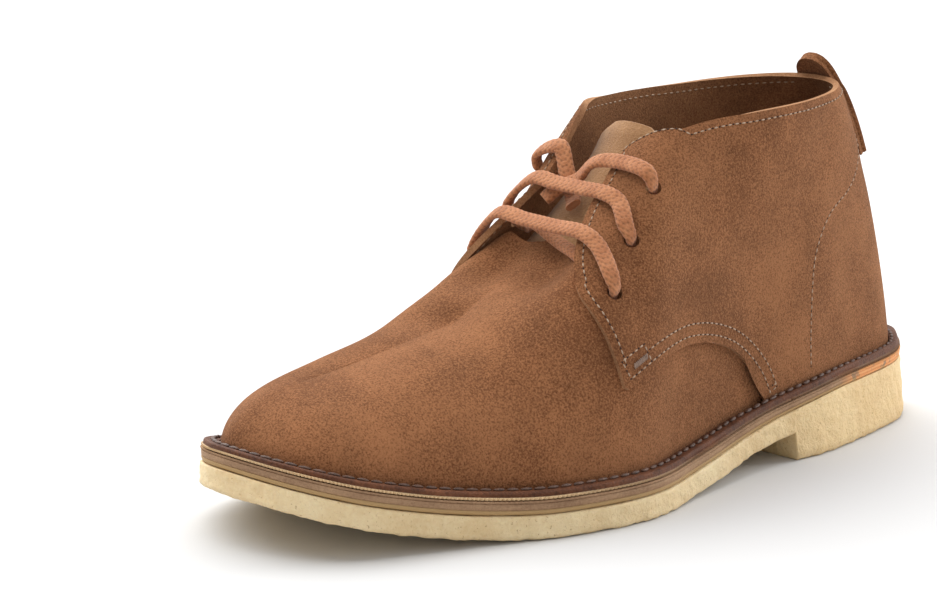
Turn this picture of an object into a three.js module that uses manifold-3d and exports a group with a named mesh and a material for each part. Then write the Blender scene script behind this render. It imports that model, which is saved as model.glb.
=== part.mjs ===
// Left desert boot, standing empty on its crepe sole.
// Millimetres, +Z up, toe towards -Y, wearer's outer side towards +X.
import * as THREE from "three";
import { mergeVertices } from "three/addons/utils/BufferGeometryUtils.js";
import Module from "manifold-3d";

const wasm = await Module();
wasm.setup();

// Driving sizes
const soleLength = 300;
const ballWidth = 107;
const collarHeight = 122;
const toeSpring = 16.4;
const crepeThickness = 7.7;
const heelBlockHeight = 12.9;
const midsoleAtBall = 4.7;
const midsoleAtHeel = 3.3;
const weltThickness = 2.6;
const weltCurl = 1.6;
const insoleThickness = 3;
const vampLeather = 1.9;
const quarterLeather = 2.1;
const layerLap = 0.3;
const clearance = 0.3;
const crepeEdgeRound = 1.4;
const midsoleBulge = 0.3;
const insoleEdgeRound = 0.8;
const insoleGap = 0.4;
const weltEdgeRound = 0.8;

// Where the sole starts to rise and fall, as shares of its length from the heel
const toeSpringStart = 0.72;
const waistFront = 0.57;
const waistBack = 0.19;
const breastBottom = 0.308;
const breastTop = 0.3147;

// How far each layer stands in from the edge of the crepe
const heelFlare = 2.4;
const midsoleInset = 0.7;
const weltInset = 1.4;
const lastInset = 8.6;

// Sole outline: half widths on either side of the heel's axis, as shares of the ball width
const outlineRows = [
  { along: 0.02, outer: 0.109, inner: 0.121 },
  { along: 0.07, outer: 0.218, inner: 0.234 },
  { along: 0.15, outer: 0.293, inner: 0.299 },
  { along: 0.26, outer: 0.364, inner: 0.308 },
  { along: 0.38, outer: 0.394, inner: 0.271 },
  { along: 0.5, outer: 0.476, inner: 0.29 },
  { along: 0.6, outer: 0.556, inner: 0.383 },
  { along: 0.7, outer: 0.532, inner: 0.467 },
  { along: 0.79, outer: 0.446, inner: 0.505 },
  { along: 0.87, outer: 0.366, inner: 0.472 },
  { along: 0.94, outer: 0.286, inner: 0.383 },
  { along: 0.985, outer: 0.133, inner: 0.234 },
];
const toeTip = -0.095;

// Top line of the last, from the back seam round the collar and down the instep to the toe.
// along and height are shares of the sole length and collar height, half and centre of the ball width.
const topRows = [
  { rib: 0, along: 0.155, height: 1, half: 0, centre: 0, full: 1.26 },
  { rib: 0.077, along: 0.162, height: 1, half: 0.085, centre: 0, full: 1.26 },
  { rib: 0.154, along: 0.183, height: 1, half: 0.158, centre: 0, full: 1.24 },
  { rib: 0.231, along: 0.223, height: 0.998, half: 0.224, centre: 0, full: 1.26 },
  { rib: 0.308, along: 0.29, height: 0.994, half: 0.272, centre: 0, full: 1.35 },
  { rib: 0.385, along: 0.37, height: 0.992, half: 0.282, centre: 0, full: 1.5 },
  { rib: 0.45, along: 0.427, height: 0.985, half: 0.21, centre: 0, full: 1.6 },
  { rib: 0.5, along: 0.458, height: 0.95, half: 0.12, centre: 0, full: 1.72 },
  { rib: 0.54, along: 0.483, height: 0.86, half: 0, centre: 0, full: 1.82 },
  { rib: 0.615, along: 0.602, height: 0.617, half: 0, centre: -0.015, full: 1.95 },
  { rib: 0.692, along: 0.683, height: 0.478, half: 0, centre: -0.04, full: 2 },
  { rib: 0.769, along: 0.76, height: 0.42, half: 0, centre: -0.065, full: 2.05 },
  { rib: 0.846, along: 0.82, height: 0.387, half: 0, centre: -0.085, full: 2.1 },
  { rib: 0.923, along: 0.86, height: 0.37, half: 0, centre: -0.095, full: 2.15 },
  { rib: 1, along: 0.88, height: 0.364, half: 0, centre: -0.095, full: 2.2 },
];
const crestRib = 0.54;

// Plan view of the throat: half the gap between the quarters' front edges
const throatRows = [
  { along: 0.425, half: 0.2 },
  { along: 0.455, half: 0.163 },
  { along: 0.485, half: 0.141 },
  { along: 0.515, half: 0.126 },
  { along: 0.55, half: 0.135 },
  { along: 0.578, half: 0.165 },
  { along: 0.603, half: 0.206 },
  { along: 0.618, half: 0.245 },
  { along: 0.627, half: 0.285 },
  { along: 0.63, half: 0.345 },
  { along: 0.617, half: 0.5 },
];

// Side view of the quarter's lower edge, from the corner of the throat back to the welt
const quarterHemRows = [
  { along: 0.617, height: 0.336 },
  { along: 0.55, height: 0.392 },
  { along: 0.483, height: 0.404 },
  { along: 0.415, height: 0.357 },
  { along: 0.364, height: 0.258 },
  { along: 0.335, height: 0.12 },
];

// Side view of the vamp's edge that lies hidden under the quarter
const vampEdgeRows = [
  { along: 0.655, height: 0.8 },
  { along: 0.645, height: 0.64 },
  { along: 0.625, height: 0.52 },
  { along: 0.59, height: 0.462 },
  { along: 0.55, height: 0.462 },
  { along: 0.483, height: 0.47 },
  { along: 0.4, height: 0.43 },
  { along: 0.335, height: 0.31 },
  { along: 0.3, height: 0.18 },
];

// Lace holes on each quarter, lowest first
const eyeletRows = [
  { along: 0.593, height: 0.558 },
  { along: 0.551, height: 0.678 },
  { along: 0.509, height: 0.806 },
];
const eyeletDiameter = 5.2;
const punchLength = 16;

// Tongue: its middle line, half width and how far its sides fall away
const tongueRows = [
  { along: 0.7, height: 0.45, half: 0.13, fall: 0.025 },
  { along: 0.66, height: 0.506, half: 0.16, fall: 0.04 },
  { along: 0.6, height: 0.585, half: 0.18, fall: 0.06 },
  { along: 0.55, height: 0.69, half: 0.18, fall: 0.065 },
  { along: 0.5, height: 0.805, half: 0.17, fall: 0.07 },
  { along: 0.472, height: 0.88, half: 0.16, fall: 0.065 },
  { along: 0.458, height: 0.93, half: 0.135, fall: 0.045 },
  { along: 0.45, height: 0.955, half: 0.08, fall: 0.02 },
];
const tongueThickness = 2.2;

// Pull tab: its middle line up the outside of the back seam
const tabRows = [
  { height: 0.79, half: 0.07, fall: 0.014 },
  { height: 0.88, half: 0.074, fall: 0.013 },
  { height: 0.96, half: 0.075, fall: 0.012 },
  { height: 1.02, half: 0.075, fall: 0.011 },
  { height: 1.055, half: 0.066, fall: 0.008 },
  { height: 1.075, half: 0.045, fall: 0.004 },
  { height: 1.083, half: 0.018, fall: 0.001 },
];
const tabThickness = 3.4;

const laceWidth = 5.8;
const laceThickness = 2.5;
const laceInHole = 3.8;
const laceLift = 1.2;
const underStrandWidth = 4.4;
const underStrandGap = 1.3;

// How a lace leaves a hole: out from the quarter's inside or outside face, slid towards
// the throat, and the share by which it has turned to lie flat
const holeStops = [
  { from: "inside", distance: -4.4, slide: 0, turned: 0 },
  { from: "inside", distance: 0.4, slide: 0, turned: 0 },
  { from: "outside", distance: 1.2, slide: 0.8, turned: 0.3 },
  { from: "outside", distance: 2.8, slide: 4.5, turned: 0.9 },
];

// Mesh fineness
const stationCount = 40;
const ribCount = 40;
const ribSteps = 12;
const laceSides = 8;

const smoothstep = (t) => {
  const c = Math.min(Math.max(t, 0), 1);
  return c * c * (3 - 2 * c);
};
const toY = (along) => soleLength * (0.5 - along);
const toAlong = (y) => 0.5 - y / soleLength;

// One column of a table at a given place, joined smoothly from row to row.
function column(rows, place, key, at) {
  const last = rows.length - 1;
  if (at <= rows[0][place]) return rows[0][key];
  if (at >= rows[last][place]) return rows[last][key];
  let i = 0;
  while (rows[i + 1][place] < at) i += 1;
  const slope = (k) => {
    const before = rows[Math.max(k - 1, 0)];
    const after = rows[Math.min(k + 1, last)];
    return (after[key] - before[key]) / (after[place] - before[place]);
  };
  const span = rows[i + 1][place] - rows[i][place];
  const t = (at - rows[i][place]) / span;
  const ease = t * t * (3 - 2 * t);
  const start = t * (1 - t) * (1 - t) * span * slope(i);
  const end = t * t * (t - 1) * span * slope(i + 1);
  return rows[i][key] * (1 - ease) + rows[i + 1][key] * ease + start + end;
}

// Heights of the sole's layers, from the share along the boot
const toeLift = (along) => {
  const past = Math.max(along - toeSpringStart, 0) / (1 - toeSpringStart);
  return toeSpring * past ** 1.8;
};
const waistRise = (along) => smoothstep((waistFront - along) / (waistFront - waistBack));
const crepeTop = (along) => toeLift(along) + crepeThickness + heelBlockHeight * waistRise(along);
const midsoleTop = (along) =>
  crepeTop(along) + midsoleAtBall + (midsoleAtHeel - midsoleAtBall) * waistRise(along);
const crepeBottom = (along) => {
  const step = smoothstep((along - breastBottom - 0.001) / (breastTop - breastBottom - 0.002));
  return toeLift(along) + heelBlockHeight * waistRise(along) * step;
};

// Sole outline as a closed curve, heel tip first, then the outer side, toe tip and inner side
const outlineCurve = new THREE.CatmullRomCurve3(
  [
    new THREE.Vector3(0, toY(0), 0),
    ...outlineRows.map((r) => new THREE.Vector3(r.outer * ballWidth, toY(r.along), 0)),
    new THREE.Vector3(toeTip * ballWidth, toY(1), 0),
    ...outlineRows.toReversed().map((r) => new THREE.Vector3(-r.inner * ballWidth, toY(r.along), 0)),
  ],
  true,
  "catmullrom",
  0.5,
);

// A point of the outline moved in from the edge
function outlinePoint(t, inset) {
  const wrapped = ((t % 1) + 1) % 1;
  const point = outlineCurve.getPoint(wrapped);
  const tangent = outlineCurve
    .getPoint((wrapped + 0.002) % 1)
    .sub(outlineCurve.getPoint((wrapped + 0.998) % 1))
    .normalize();
  return new THREE.Vector3(point.x + tangent.y * inset, point.y - tangent.x * inset, 0);
}

// Curve parameter of the outer side at a share along the boot
function outlineParameter(along) {
  let low = 0;
  let high = 0.5;
  for (let k = 0; k < 40; k += 1) {
    const middle = (low + high) / 2;
    if (toAlong(outlineCurve.getPoint(middle).y) < along) low = middle;
    else high = middle;
  }
  return (low + high) / 2;
}

const stations = Array.from({ length: stationCount + 1 }, (_, k) => (0.5 * k) / stationCount)
  .concat([outlineParameter(breastBottom), outlineParameter(breastTop)])
  .toSorted((a, b) => a - b);
const ringParameters = [...stations, ...stations.slice(1, -1).toReversed().map((t) => 1 - t)];

// Closed geometry from corner points and polygons, turned to face out
function closedGeometry(points, faces) {
  const triangles = [];
  for (const face of faces) {
    for (let k = 1; k + 1 < face.length; k += 1) {
      const [a, b, c] = [face[0], face[k], face[k + 1]];
      if (a !== b && b !== c && a !== c) triangles.push([a, b, c]);
    }
  }
  let volume = 0;
  for (const [a, b, c] of triangles) {
    volume += points[a].dot(new THREE.Vector3().crossVectors(points[b], points[c]));
  }
  const geometry = new THREE.BufferGeometry();
  geometry.setAttribute(
    "position",
    new THREE.Float32BufferAttribute(points.flatMap((p) => [p.x, p.y, p.z]), 3),
  );
  geometry.setIndex(triangles.flatMap(([a, b, c]) => (volume > 0 ? [a, b, c] : [a, c, b])));
  return geometry;
}

function toManifold(geometry) {
  const bare = geometry.clone();
  bare.deleteAttribute("normal");
  bare.deleteAttribute("uv");
  const merged = mergeVertices(bare, 1e-4);
  return new wasm.Manifold(
    new wasm.Mesh({
      numProp: 3,
      vertProperties: merged.attributes.position.array,
      triVerts: new Uint32Array(merged.index.array),
    }),
  );
}

function fromManifold(solid) {
  const mesh = solid.getMesh();
  const geometry = new THREE.BufferGeometry();
  geometry.setAttribute("position", new THREE.Float32BufferAttribute(mesh.vertProperties, 3));
  geometry.setIndex(Array.from(mesh.triVerts));
  return geometry;
}

// A layer of the sole through rings of the outline, lowest first
function layer(levels) {
  const size = ringParameters.length;
  const points = [];
  for (const level of levels) {
    for (const t of ringParameters) {
      const point = outlinePoint(t, level.inset(toAlong(outlinePoint(t, 0).y)));
      point.z = level.height(toAlong(point.y));
      points.push(point);
    }
  }
  const faces = [];
  for (let l = 0; l + 1 < levels.length; l += 1) {
    for (let i = 0; i < size; i += 1) {
      const next = (i + 1) % size;
      faces.push([l * size + i, (l + 1) * size + i, (l + 1) * size + next, l * size + next]);
    }
  }
  const top = (levels.length - 1) * size;
  for (let i = 0; i + 1 < stations.length; i += 1) {
    const across = (size - i) % size;
    const acrossNext = (size - i - 1) % size;
    faces.push([i, i + 1, acrossNext, across]);
    faces.push([top + i, top + across, top + acrossNext, top + i + 1]);
  }
  return closedGeometry(points, faces);
}

function outsole() {
  const between = (share, along) =>
    crepeBottom(along) * (1 - share) + crepeTop(along) * share;
  const flare = (along) =>
    heelFlare * smoothstep((0.36 - along) / 0.1) * smoothstep(along / 0.08);
  return layer([
    { inset: (along) => crepeEdgeRound - flare(along), height: crepeBottom },
    { inset: (along) => -flare(along), height: (along) => crepeBottom(along) + crepeEdgeRound },
    { inset: (along) => -flare(along) / 3, height: (along) => between(0.6, along) },
    { inset: () => crepeEdgeRound / 3, height: crepeTop },
  ]);
}

function midsole() {
  const middle = (along) => (crepeTop(along) + midsoleTop(along)) / 2;
  return layer([
    { inset: () => midsoleInset, height: (along) => crepeTop(along) + clearance },
    { inset: () => midsoleInset - midsoleBulge, height: middle },
    { inset: () => midsoleInset, height: midsoleTop },
  ]);
}

function insole() {
  const base = (along) => midsoleTop(along) + clearance;
  const inset = lastInset + clearance + insoleGap;
  return layer([
    { inset: () => inset, height: base },
    { inset: () => inset, height: (along) => base(along) + insoleThickness - insoleEdgeRound },
    { inset: () => inset + insoleEdgeRound, height: (along) => base(along) + insoleThickness },
  ]);
}

// Welt: a closed strip round the upper's foot, lifted at its rim behind the heel
function welt() {
  const section = ringParameters.map((t) => {
    const along = toAlong(outlinePoint(t, 0).y);
    const heel = smoothstep((0.3 - along) / 0.3);
    const behind = smoothstep((0.42 - along) / 0.06);
    const upperInset = lastInset - vampLeather - (quarterLeather - layerLap) * behind;
    const outer = outlinePoint(t, weltInset);
    const inner = outlinePoint(t, upperInset - clearance);
    const at = (point, up) =>
      new THREE.Vector3(point.x, point.y, midsoleTop(toAlong(point.y)) + clearance + up);
    return [
      at(outer, 0),
      at(outer, weltThickness - weltEdgeRound + weltCurl * heel),
      at(outlinePoint(t, weltInset + weltEdgeRound), weltThickness + weltCurl * 0.7 * heel),
      at(inner, weltThickness),
      at(inner, 0),
    ];
  });
  const width = section[0].length;
  const faces = [];
  for (let i = 0; i < section.length; i += 1) {
    const next = (i + 1) % section.length;
    for (let k = 0; k < width; k += 1) {
      const over = (k + 1) % width;
      faces.push([i * width + k, next * width + k, next * width + over, i * width + over]);
    }
  }
  return closedGeometry(section.flat(), faces);
}

// A point of the last: side is 1 on the outer side and -1 on the inner side,
// rib runs from the back seam to the toe and share from the welt to the top line.
function lastPoint(side, rib, share) {
  const top = (key) => column(topRows, "rib", key, rib);
  const foot = outlinePoint(side > 0 ? rib / 2 : 1 - rib / 2, lastInset);
  const footHeight = midsoleTop(toAlong(foot.y)) + clearance;
  const half = rib < crestRib ? Math.max(top("half"), 0) : 0;
  const power = 2 / top("full");
  const inward = 1 - Math.cos((share * Math.PI) / 2) ** power;
  const upward = Math.sin((share * Math.PI) / 2) ** power;
  const x = (top("centre") + side * half) * ballWidth;
  return new THREE.Vector3(
    foot.x + (x - foot.x) * inward,
    foot.y + (toY(top("along")) - foot.y) * inward,
    footHeight + (top("height") * collarHeight - footHeight) * upward,
  );
}

// The last as an open sheet of shared corners, with the outward direction at each
function lastSheet() {
  const ribs = Array.from({ length: ribCount + 1 }, (_, k) => k / ribCount);
  ribs[Math.round(crestRib * ribCount)] = crestRib;
  const points = [];
  const feet = new Set();
  const known = new Map();
  const corner = (side, i, j) => {
    const shared = i === 0 || i === ribCount || (j === ribSteps && ribs[i] >= crestRib);
    const key = `${shared ? 1 : side},${i},${j}`;
    if (!known.has(key)) {
      known.set(key, points.length);
      points.push(lastPoint(shared ? 1 : side, ribs[i], j / ribSteps));
      if (j === 0) feet.add(known.get(key));
    }
    return known.get(key);
  };
  const faces = [];
  for (const side of [1, -1]) {
    for (let i = 0; i < ribCount; i += 1) {
      for (let j = 0; j < ribSteps; j += 1) {
        const quad = [corner(side, i, j), corner(side, i + 1, j)];
        quad.push(corner(side, i + 1, j + 1), corner(side, i, j + 1));
        const [a, b, c, d] = side > 0 ? quad : quad.toReversed();
        faces.push([a, b, c], [a, c, d]);
      }
    }
  }
  const outward = points.map(() => new THREE.Vector3());
  const edges = new Map();
  for (const [a, b, c] of faces) {
    const ab = points[b].clone().sub(points[a]);
    const normal = ab.cross(points[c].clone().sub(points[a])).negate();
    for (const k of [a, b, c]) outward[k].add(normal);
    for (const [p, q] of [[a, b], [b, c], [c, a]]) {
      if (!edges.delete(`${q},${p}`)) edges.set(`${p},${q}`, [p, q]);
    }
  }
  const rim = [...edges.values()];
  for (const [p] of rim) outward[p].z = 0;
  for (const n of outward) n.normalize();
  const around = points.map(() => []);
  for (const face of faces) for (const k of face) around[k].push(face);
  return { points, faces, outward, rim, feet, around };
}
const last = lastSheet();

// A wall of leather between two distances outside the last
function leatherWall(inside, outside) {
  const count = last.points.length;
  const moved = (distance) =>
    last.points.map((p, k) => {
      const point = p.clone().addScaledVector(last.outward[k], distance);
      if (last.feet.has(k)) point.z = midsoleTop(toAlong(point.y)) + clearance;
      return point;
    });
  const faces = last.faces.map((f) => f);
  for (const [a, b, c] of last.faces) faces.push([a + count, c + count, b + count]);
  for (const [p, q] of last.rim) faces.push([q, p, p + count, q + count]);
  return toManifold(closedGeometry([...moved(outside), ...moved(inside)], faces));
}

function blockOf(corners, depth) {
  const shape = new THREE.Shape(corners.map(([u, v]) => new THREE.Vector2(u, v)));
  return new THREE.ExtrudeGeometry(shape, { depth, bevelEnabled: false });
}

// A block that cuts the whole boot to a side view
function sideBlock(corners) {
  const block = blockOf(corners, 2 * ballWidth);
  const turn = new THREE.Matrix4().makeBasis(
    new THREE.Vector3(0, 1, 0),
    new THREE.Vector3(0, 0, 1),
    new THREE.Vector3(1, 0, 0),
  );
  block.applyMatrix4(turn);
  block.translate(-ballWidth, 0, 0);
  return toManifold(block);
}

// A smooth side-view line through the rows of a table
function sideLine(rows, steps) {
  const curve = new THREE.SplineCurve(
    rows.map((r) => new THREE.Vector2(toY(r.along), r.height * collarHeight)),
  );
  return curve.getPoints(steps).map((p) => [p.x, p.y]);
}

// A block in front of the quarters' free edges, from above
function throatBlock() {
  const edge = new THREE.SplineCurve(
    throatRows.map((r) => new THREE.Vector2(r.half * ballWidth, toY(r.along))),
  ).getPoints(30);
  const outer = edge.map((p) => [p.x, p.y]);
  const inner = edge.map((p) => [-p.x, p.y]);
  const corners = [[ballWidth, -soleLength], ...outer.toReversed(), ...inner, [-ballWidth, -soleLength]];
  corners.splice(1, 0, [ballWidth, toY(throatRows.at(-1).along)]);
  corners.splice(corners.length - 1, 0, [-ballWidth, toY(throatRows.at(-1).along)]);
  return toManifold(blockOf(corners, 2 * collarHeight));
}

// The place on the last that a side view shows at a given share along and height
function placeOnLast(side, along, height) {
  const goal = new THREE.Vector2(toY(along), height * collarHeight);
  const miss = (rib, share) => {
    const p = lastPoint(side, rib, share);
    return Math.hypot(p.y - goal.x, p.z - goal.y);
  };
  let best = { rib: 0.5, share: 0.7, off: Infinity };
  for (let rib = 0.3; rib < 0.75; rib += 0.01) {
    for (let share = 0.3; share < 1; share += 0.02) {
      const off = miss(rib, share);
      if (off < best.off) best = { rib, share, off };
    }
  }
  for (let step = 0.005; step > 1e-5; step /= 2) {
    for (const [dr, ds] of [[step, 0], [-step, 0], [0, step], [0, -step]]) {
      const off = miss(best.rib + dr, best.share + ds);
      if (off < best.off) best = { rib: best.rib + dr, share: best.share + ds, off };
    }
  }
  const at = lastPoint(side, best.rib, best.share);
  const alongRib = lastPoint(side, best.rib, best.share + 0.01).sub(at);
  const acrossRib = lastPoint(side, best.rib + 0.005, best.share).sub(at);
  const normal = acrossRib.cross(alongRib).multiplyScalar(-side).normalize();
  return { at, normal };
}
const above = (place, distance) => place.at.clone().addScaledVector(place.normal, distance);

const quarterInside = vampLeather - layerLap;
const quarterOutside = quarterInside + quarterLeather;
const eyelets = eyeletRows.map((r) => ({
  outer: placeOnLast(1, r.along, r.height),
  inner: placeOnLast(-1, r.along, r.height),
}));

function upper() {
  const far = soleLength;
  const below = -heelBlockHeight;
  const vampBlock = sideBlock([
    ...sideLine(vampEdgeRows, 20),
    [toY(vampEdgeRows.at(-1).along), below],
    [-far, below],
    [-far, vampEdgeRows[0].height * collarHeight],
  ]);
  const quarterBlock = sideBlock([
    [-far, far],
    [-far, quarterHemRows[0].height * collarHeight],
    ...sideLine(quarterHemRows, 14),
    [toY(quarterHemRows.at(-1).along), below],
    [far, below],
    [far, far],
  ]).subtract(throatBlock());
  const vamp = leatherWall(0, vampLeather).intersect(vampBlock);
  const quarters = leatherWall(quarterInside, quarterOutside).intersect(quarterBlock);
  let solid = vamp.add(quarters);
  for (const pair of eyelets) {
    for (const place of [pair.outer, pair.inner]) {
      const hole = new THREE.CylinderGeometry(eyeletDiameter / 2, eyeletDiameter / 2, punchLength, 16);
      const lift = new THREE.Quaternion().setFromUnitVectors(
        new THREE.Vector3(0, 1, 0),
        place.normal,
      );
      hole.applyQuaternion(lift);
      hole.translate(...above(place, quarterInside).toArray());
      solid = solid.subtract(toManifold(hole));
    }
  }
  return fromManifold(solid);
}

// The outside of the back seam at a height, carried straight on above the rim
function backSeam(height) {
  let low = 0.3;
  let high = 1;
  for (let k = 0; k < 30; k += 1) {
    const middle = (low + high) / 2;
    if (lastPoint(1, 0, middle).z < height) low = middle;
    else high = middle;
  }
  const rim = lastPoint(1, 0, 0.98);
  const below = lastPoint(1, 0, 0.8);
  const lean = (rim.y - below.y) / (rim.z - below.z);
  const base = height < rim.z ? lastPoint(1, 0, low).y : rim.y + (height - rim.z) * lean;
  return base + (quarterOutside + 3.5 * clearance) * Math.hypot(1, lean);
}

// A bent strap through the rows of a table: the middle line lies in the boot's own plane
function strap(rows, thickness, outside, sideSteps) {
  const middle = rows.map((r) => new THREE.Vector3(0, r.y ?? toY(r.along), r.height * collarHeight));
  const points = [];
  const width = 2 * (sideSteps + 1);
  rows.forEach((row, k) => {
    const before = middle[Math.max(k - 1, 0)];
    const after = middle[Math.min(k + 1, rows.length - 1)];
    const normal = new THREE.Vector3(1, 0, 0)
      .cross(after.clone().sub(before).normalize())
      .multiplyScalar(outside);
    const place = (share, depth) =>
      middle[k]
        .clone()
        .add(new THREE.Vector3(share * row.half * ballWidth, 0, 0))
        .addScaledVector(normal, depth - row.fall * ballWidth * share * share);
    for (let s = 0; s <= sideSteps; s += 1) points.push(place(-1 + (2 * s) / sideSteps, 0));
    for (let s = sideSteps; s >= 0; s -= 1) {
      points.push(place(-1 + (2 * s) / sideSteps, -thickness));
    }
  });
  const faces = [];
  for (let k = 0; k + 1 < rows.length; k += 1) {
    for (let s = 0; s < width; s += 1) {
      const next = (s + 1) % width;
      faces.push([k * width + s, (k + 1) * width + s, (k + 1) * width + next, k * width + next]);
    }
  }
  for (const [k, turned] of [[0, false], [rows.length - 1, true]]) {
    for (let s = 0; s < sideSteps; s += 1) {
      const quad = [s, s + 1, width - 2 - s, width - 1 - s].map((n) => k * width + n);
      faces.push(turned ? quad.toReversed() : quad);
    }
  }
  return closedGeometry(points, faces);
}

function pullTab() {
  const rows = tabRows.map((r) => ({
    ...r,
    y: backSeam(r.height * collarHeight) + 1.08 * tabThickness,
  }));
  return strap(rows, tabThickness, -1, 4);
}

// A lace through chosen places, each with a width and the direction that its flat side faces
function lace(stops, steps) {
  const path = new THREE.CatmullRomCurve3(stops.map((s) => s.at), false, "centripetal");
  const faceLine = new THREE.CatmullRomCurve3(stops.map((s) => s.face), false, "centripetal");
  const widths = stops.map((s, k) => ({ stop: k, width: s.width }));
  const points = [];
  for (let k = 0; k <= steps; k += 1) {
    const t = k / steps;
    const centre = path.getPoint(t);
    const tangent = path.getTangent(t);
    const flat = faceLine.getPoint(t).projectOnPlane(tangent).normalize();
    const across = tangent.clone().cross(flat);
    const width = column(widths, "stop", "width", t * (stops.length - 1));
    for (let s = 0; s < laceSides; s += 1) {
      const angle = (2 * Math.PI * (s + 0.5)) / laceSides;
      points.push(
        centre
          .clone()
          .addScaledVector(across, (Math.cos(angle) * width) / 2)
          .addScaledVector(flat, (Math.sin(angle) * laceThickness) / 2),
      );
    }
  }
  const faces = [];
  for (let k = 0; k < steps; k += 1) {
    for (let s = 0; s < laceSides; s += 1) {
      const next = (s + 1) % laceSides;
      const ring = k * laceSides;
      faces.push([ring + s, ring + next, ring + laceSides + next, ring + laceSides + s]);
    }
  }
  const ends = Array.from({ length: laceSides }, (_, s) => s);
  faces.push(ends.toReversed(), ends.map((s) => steps * laceSides + s));
  return closedGeometry(points, faces);
}

// How far a point stands out from the last, and which way is out there
function nearLast(point) {
  const gaps = last.points.map((corner) => corner.distanceToSquared(point));
  const nearest = gaps.indexOf(Math.min(...gaps));
  let found = { distance: Infinity };
  for (const face of last.around[nearest]) {
    const triangle = new THREE.Triangle(...face.map((k) => last.points[k]));
    const foot = triangle.closestPointToPoint(point, new THREE.Vector3());
    const share = triangle.getBarycoord(foot, new THREE.Vector3()).toArray();
    const normal = new THREE.Vector3();
    face.forEach((k, n) => normal.addScaledVector(last.outward[k], share[n]));
    const away = point.clone().sub(foot);
    const distance = away.length() * Math.sign(away.dot(normal));
    if (Math.abs(distance) < Math.abs(found.distance)) found = { distance, normal };
  }
  return found;
}

// A lace's stop over a place in plan view, at a distance outside the last
function over(x, along, distance, width = laceWidth) {
  const at = new THREE.Vector3(x, toY(along), collarHeight);
  let near = nearLast(at);
  while (near.distance > distance) {
    at.z -= 0.2;
    near = nearLast(at);
  }
  return { at, face: near.normal, width };
}

// A lace's stop in a lace hole, its flat side facing away from the boot's middle
function inHole(place, distance, towards, shift, turned) {
  const face = place.normal.clone().multiplyScalar(turned).addScaledVector(towards, turned - 1);
  const slide = new THREE.Vector3(0, 1, 0).cross(place.normal).multiplyScalar(towards.x).normalize();
  const at = above(place, distance).addScaledVector(slide, shift);
  return { at, face, width: laceInHole + (laceWidth - laceInHole) * turned };
}

// The stops from inside a hole to just outside it, on the way to the other side
function outOfHole(place, towards) {
  const faces = { inside: quarterInside, outside: quarterOutside };
  return holeStops.map((s) => {
    return inHole(place, faces[s.from] + s.distance, towards, s.slide, s.turned);
  });
}

// The stops of a bar between two holes: over one quarter's edge, straight across, over the other's
function barStops(row) {
  const [from, to] = [eyelets[row].inner.at.x, eyelets[row].outer.at.x];
  const rest = quarterOutside + laceThickness / 2 + laceLift;
  const [inner, outer, last] = [0.12, 0.78, 0.89].map((t) =>
    over(from + (to - from) * t, eyeletRows[row].along, rest),
  );
  const across = [0.33, 0.67].map((t) => ({
    at: inner.at.clone().lerp(outer.at, t),
    face: inner.face.clone().lerp(outer.face, t),
    width: laceWidth,
  }));
  return [inner, ...across, outer, last];
}

const toOuter = new THREE.Vector3(1, 0, 0);
const toInner = new THREE.Vector3(-1, 0, 0);

// The two bars and the strand that joins them beneath the quarters
function lacing() {
  const [low, high] = eyelets;
  const into = (place, towards) => outOfHole(place, towards).toReversed();
  const under = quarterInside - laceThickness / 2 - underStrandGap;
  const [lowX, highX] = [low.outer.at.x, high.inner.at.x];
  const [lowAlong, highAlong] = [eyeletRows[0].along, eyeletRows[1].along];
  const strand = [0.25, 0.5, 0.75].map((t) =>
    over(lowX + (highX - lowX) * t, lowAlong + (highAlong - lowAlong) * t + 0.01, under, underStrandWidth),
  );
  return lace(
    [
      ...outOfHole(low.inner, toOuter),
      ...barStops(0),
      ...into(low.outer, toInner),
      ...strand,
      ...outOfHole(high.inner, toOuter),
      ...barStops(1),
      ...into(high.outer, toInner),
    ],
    96,
  );
}

// The lace's two ends come out of the top holes, cross and tuck in under the upper bar
const outerEndStops = [
  { across: 0.12, along: 0.519, distance: 5.5 },
  { across: 0.05, along: 0.523, distance: 6.2 },
  { across: 0, along: 0.529, distance: 6 },
  { across: -0.045, along: 0.541, distance: 3.2 },
  { across: -0.07, along: 0.555, distance: 1.9 },
];
const innerEndStops = [
  { across: -0.118, along: 0.516, distance: 5.7 },
  { across: -0.065, along: 0.523, distance: 2 },
  { across: -0.01, along: 0.532, distance: 0.9 },
  { across: 0.045, along: 0.55, distance: 1.6 },
];

function laceEnd(place, towards, stops) {
  const rest = stops.map((r) => over(r.across * ballWidth, r.along, r.distance));
  return lace([...outOfHole(place, towards), ...rest], 30);
}

function part(name, geometry, colour, roughness) {
  const material = new THREE.MeshStandardMaterial({ color: colour, roughness, metalness: 0 });
  const mesh = new THREE.Mesh(geometry, material);
  mesh.name = name;
  return mesh;
}

const suede = 0x8a5a34;
const boot = new THREE.Group();
boot.add(
  part("outsole", outsole(), 0xe2cd8f, 0.75),
  part("midsole", midsole(), 0xa98862, 0.8),
  part("welt", welt(), 0x4a2c1c, 0.8),
  part("insole", insole(), 0x8a6a48, 0.85),
  part("upper", upper(), suede, 0.95),
  part("tongue", strap(tongueRows, tongueThickness, 1, 6), 0x9a6a40, 0.95),
  part("pull_tab", pullTab(), suede, 0.95),
  part("lacing", lacing(), 0xa8683c, 0.9),
  part("lace_end_outer", laceEnd(eyelets[2].outer, toInner, outerEndStops), 0xa8683c, 0.9),
  part("lace_end_inner", laceEnd(eyelets[2].inner, toOuter, innerEndStops), 0xa8683c, 0.9),
);
const box = new THREE.Box3().setFromObject(boot);
boot.position.set(-(box.min.x + box.max.x) / 2, -(box.min.y + box.max.y) / 2, -box.min.z);
export default boot;
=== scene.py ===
"""A left desert boot in brown suede, standing empty on its crepe sole."""

import math

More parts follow.
